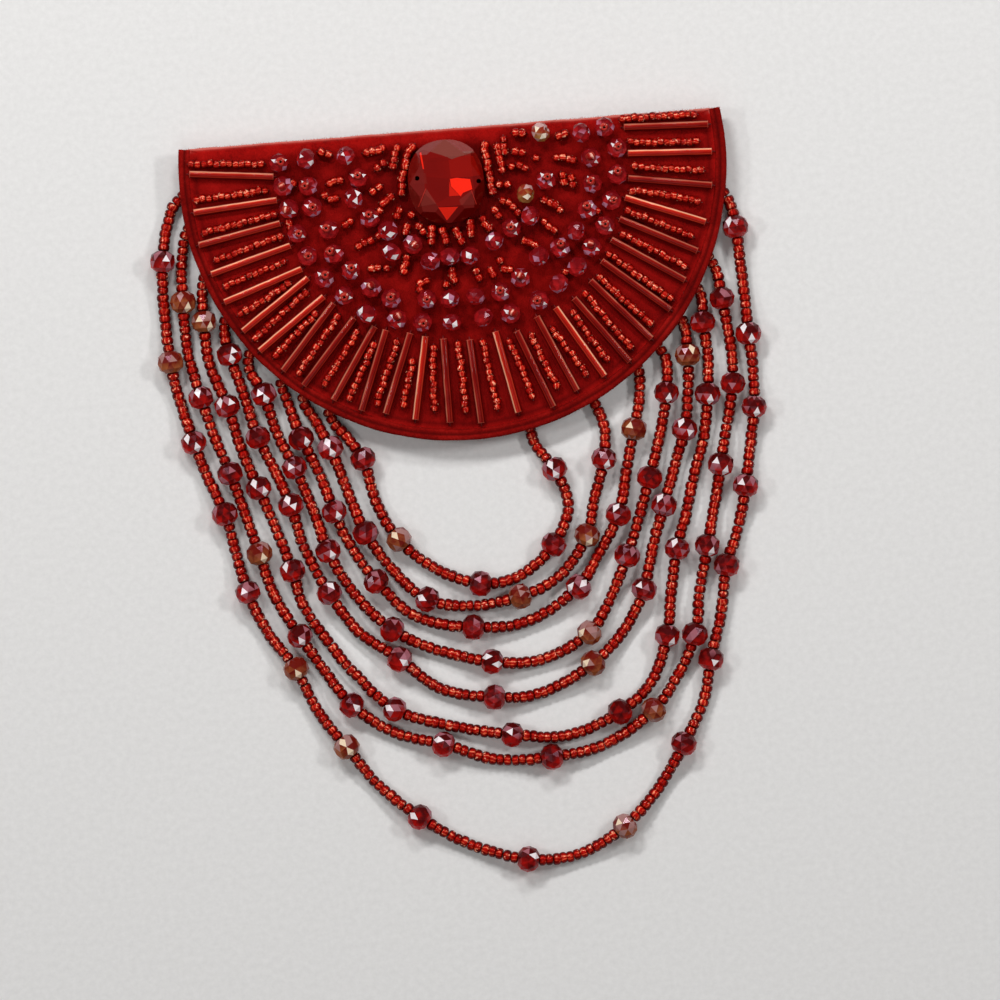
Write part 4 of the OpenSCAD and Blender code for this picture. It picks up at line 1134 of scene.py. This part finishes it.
# Painted light and shade: a dark and a lit body, a painted sheen and a painted white glint.
ruby_rondelle = coated_crystal("lilac coated red rondelle", (0.08, 0.003, 0.003), (0.68, 0.009, 0.005),
                               (0.4, 0.14, 0.17), (1.0, 0.94, 0.95), 0.35, -0.1)
amber_rondelle = coated_crystal("gold coated amber rondelle", (0.17, 0.01, 0.005), (0.4, 0.11, 0.035),
                                (0.42, 0.22, 0.2), (1.0, 0.82, 0.58), 0.7, -0.1)
threads = []
for number, route in enumerate(string_chart, 1):
    line, along, marks = string_line(route)

    def on_line(s):
        return np.array([np.interp(s, along, line[:, k]) for k in range(3)])

    stops = [(s, (x, y)) for s, (x, y, *cut) in zip(marks, route) if cut]
    seeds, ruby, amber = [], [], []
    for s, spot in stops:
        way = on_line(s + 0.5) - on_line(s - 0.5)
        place = (frame_along(way, chance.uniform(0, 6)), chance.uniform(0.97, 1.02), on_line(s))
        (amber if spot in amber_rondelles else ruby).append(place)
    starts = [BARE_END] + [s + RONDELLE_W / 2 for s, spot in stops]
    ends = [s - RONDELLE_W / 2 for s, spot in stops] + [along[-1] - BARE_END]
    for a, b in zip(starts, ends):
        count = max(1, round((b - a) / STRING_PITCH))
        for i in range(count):
            s = a + (b - a) * (i + 0.5) / count
            way = on_line(s + 0.4) - on_line(s - 0.4)
            way = way / np.linalg.norm(way) + chance.uniform(-SEED_ASKEW, SEED_ASKEW, 3)
            size = STRING_D * chance.uniform(0.93, 1.03)
            off = chance.uniform(-SEED_ASKEW, SEED_ASKEW, 3) * (1, 1, 0.4)
            seeds.append((frame_along(way, chance.uniform(0, 6)), size, on_line(s) + off))
    tones = chance.uniform(0.0, 0.66, len(seeds))
    fasten(many("string_%d_seeds" % number, string_seed_shape, seeds, tones), string_glass, "string_glass",
           "strand_%d" % number)
    for word, finish, cut in (("_rondelles", ruby_rondelle, ruby),
                              ("_amber_rondelles", amber_rondelle, amber)):
        if cut:
            tones = chance.uniform(0.0, 0.6, len(cut))
            beads = many("string_%d" % number + word, rondelle_shape, cut, tones, smooth=False,
                         calm=RONDELLE_CALM)
            fasten(beads, finish, "string_glass")
    threads.append([on_line(s) for s in np.arange(0.2, along[-1] - 0.2, 1.0)])
    for s, out in ((0.0, -1), (along[-1], 1)):
        end, near_end = on_line(s), on_line(s - out)
        way = (end - near_end) / np.linalg.norm(end - near_end)
        threads.append([end + way * reach + (0, 0, lift) for reach, lift in THREAD_END])
fasten(piece_from("string_threads", *tube_mesh(threads, STRING_THREAD_R, 5)), thread_red, "string_glass")


# Surface, lights and camera.
# A plain pale surface, two soft boxes above the top edge, one at each side and a broad soft light
# overhead. The camera looks straight down, turned so that the top edge climbs a little to the right.
SURFACE = 3000
# In metres and degrees: the place above the middle that the lamps face, the camera's height, half the
# width it sees, and its turn.
LAMPS_AIM = 0.02
VIEW_FROM = 2.4
HALF_VIEW = 0.11905
ROLL = -4.54


def soft_box(name, azimuth, elevation, distance, size, power):
    """A rectangular area light that faces the middle of the piece."""
    lamp = bpy.data.lights.new(name, "AREA")
    lamp.shape = "RECTANGLE"
    lamp.size, lamp.size_y = size
    lamp.energy = power
    made = place_in_scene(name, lamp)
    a, e = math.radians(azimuth), math.radians(elevation)
    level = distance * math.cos(e)
    made.location = (level * math.cos(a), level * math.sin(a) + LAMPS_AIM, distance * math.sin(e))
    made.rotation_euler = (math.pi / 2 - e, 0, a + math.pi / 2)


square = [(-SURFACE, -SURFACE, 0), (SURFACE, -SURFACE, 0), (SURFACE, SURFACE, 0), (-SURFACE, SURFACE, 0)]
surface = piece_from("surface", square, [(0, 1, 2, 3)], smooth=False)
paper = finish_of("pale paper", Roughness=0.8, Specular_IOR_Level=0.2)
grain = speckle(paper, own_place(paper), 700.0, Detail=4.0, Roughness=0.6)
paint(paper, dyed(paper, grain, [(0.3, (0.74, 0.73, 0.72)), (0.7, (0.8, 0.79, 0.78))]), grain, 0.15, 0.0001)
surface.data.materials.append(paper)
soft_box("soft box upper left", 115, 48, 1.0, (0.3, 0.1), 4.0)
soft_box("soft box upper right", 77, 44, 1.0, (0.2, 0.1), 2.2)
soft_box("soft box right", 20, 46, 1.0, (0.24, 0.1), 2.4)
soft_box("soft box left", 170, 48, 1.0, (0.16, 0.1), 1.4)
soft_box("broad light", 265, 72, 1.3, (0.8, 0.8), 2.2)
world = bpy.data.worlds.new("studio")
world.use_nodes = True
world.node_tree.nodes["Background"].inputs["Color"].default_value = (1.0, 0.99, 0.98, 1)
world.node_tree.nodes["Background"].inputs["Strength"].default_value = 0.12
bpy.context.scene.world = world

camera = place_in_scene("camera", bpy.data.cameras.new("camera"))
camera.data.angle = 2 * math.atan(HALF_VIEW / VIEW_FROM)
camera.data.clip_start = 0.1
camera.location = (0.0065, -0.00035, VIEW_FROM)
camera.rotation_euler = (0, 0, math.radians(ROLL))
bpy.context.scene.camera = camera
bpy.context.scene.view_settings.view_transform = "Standard"
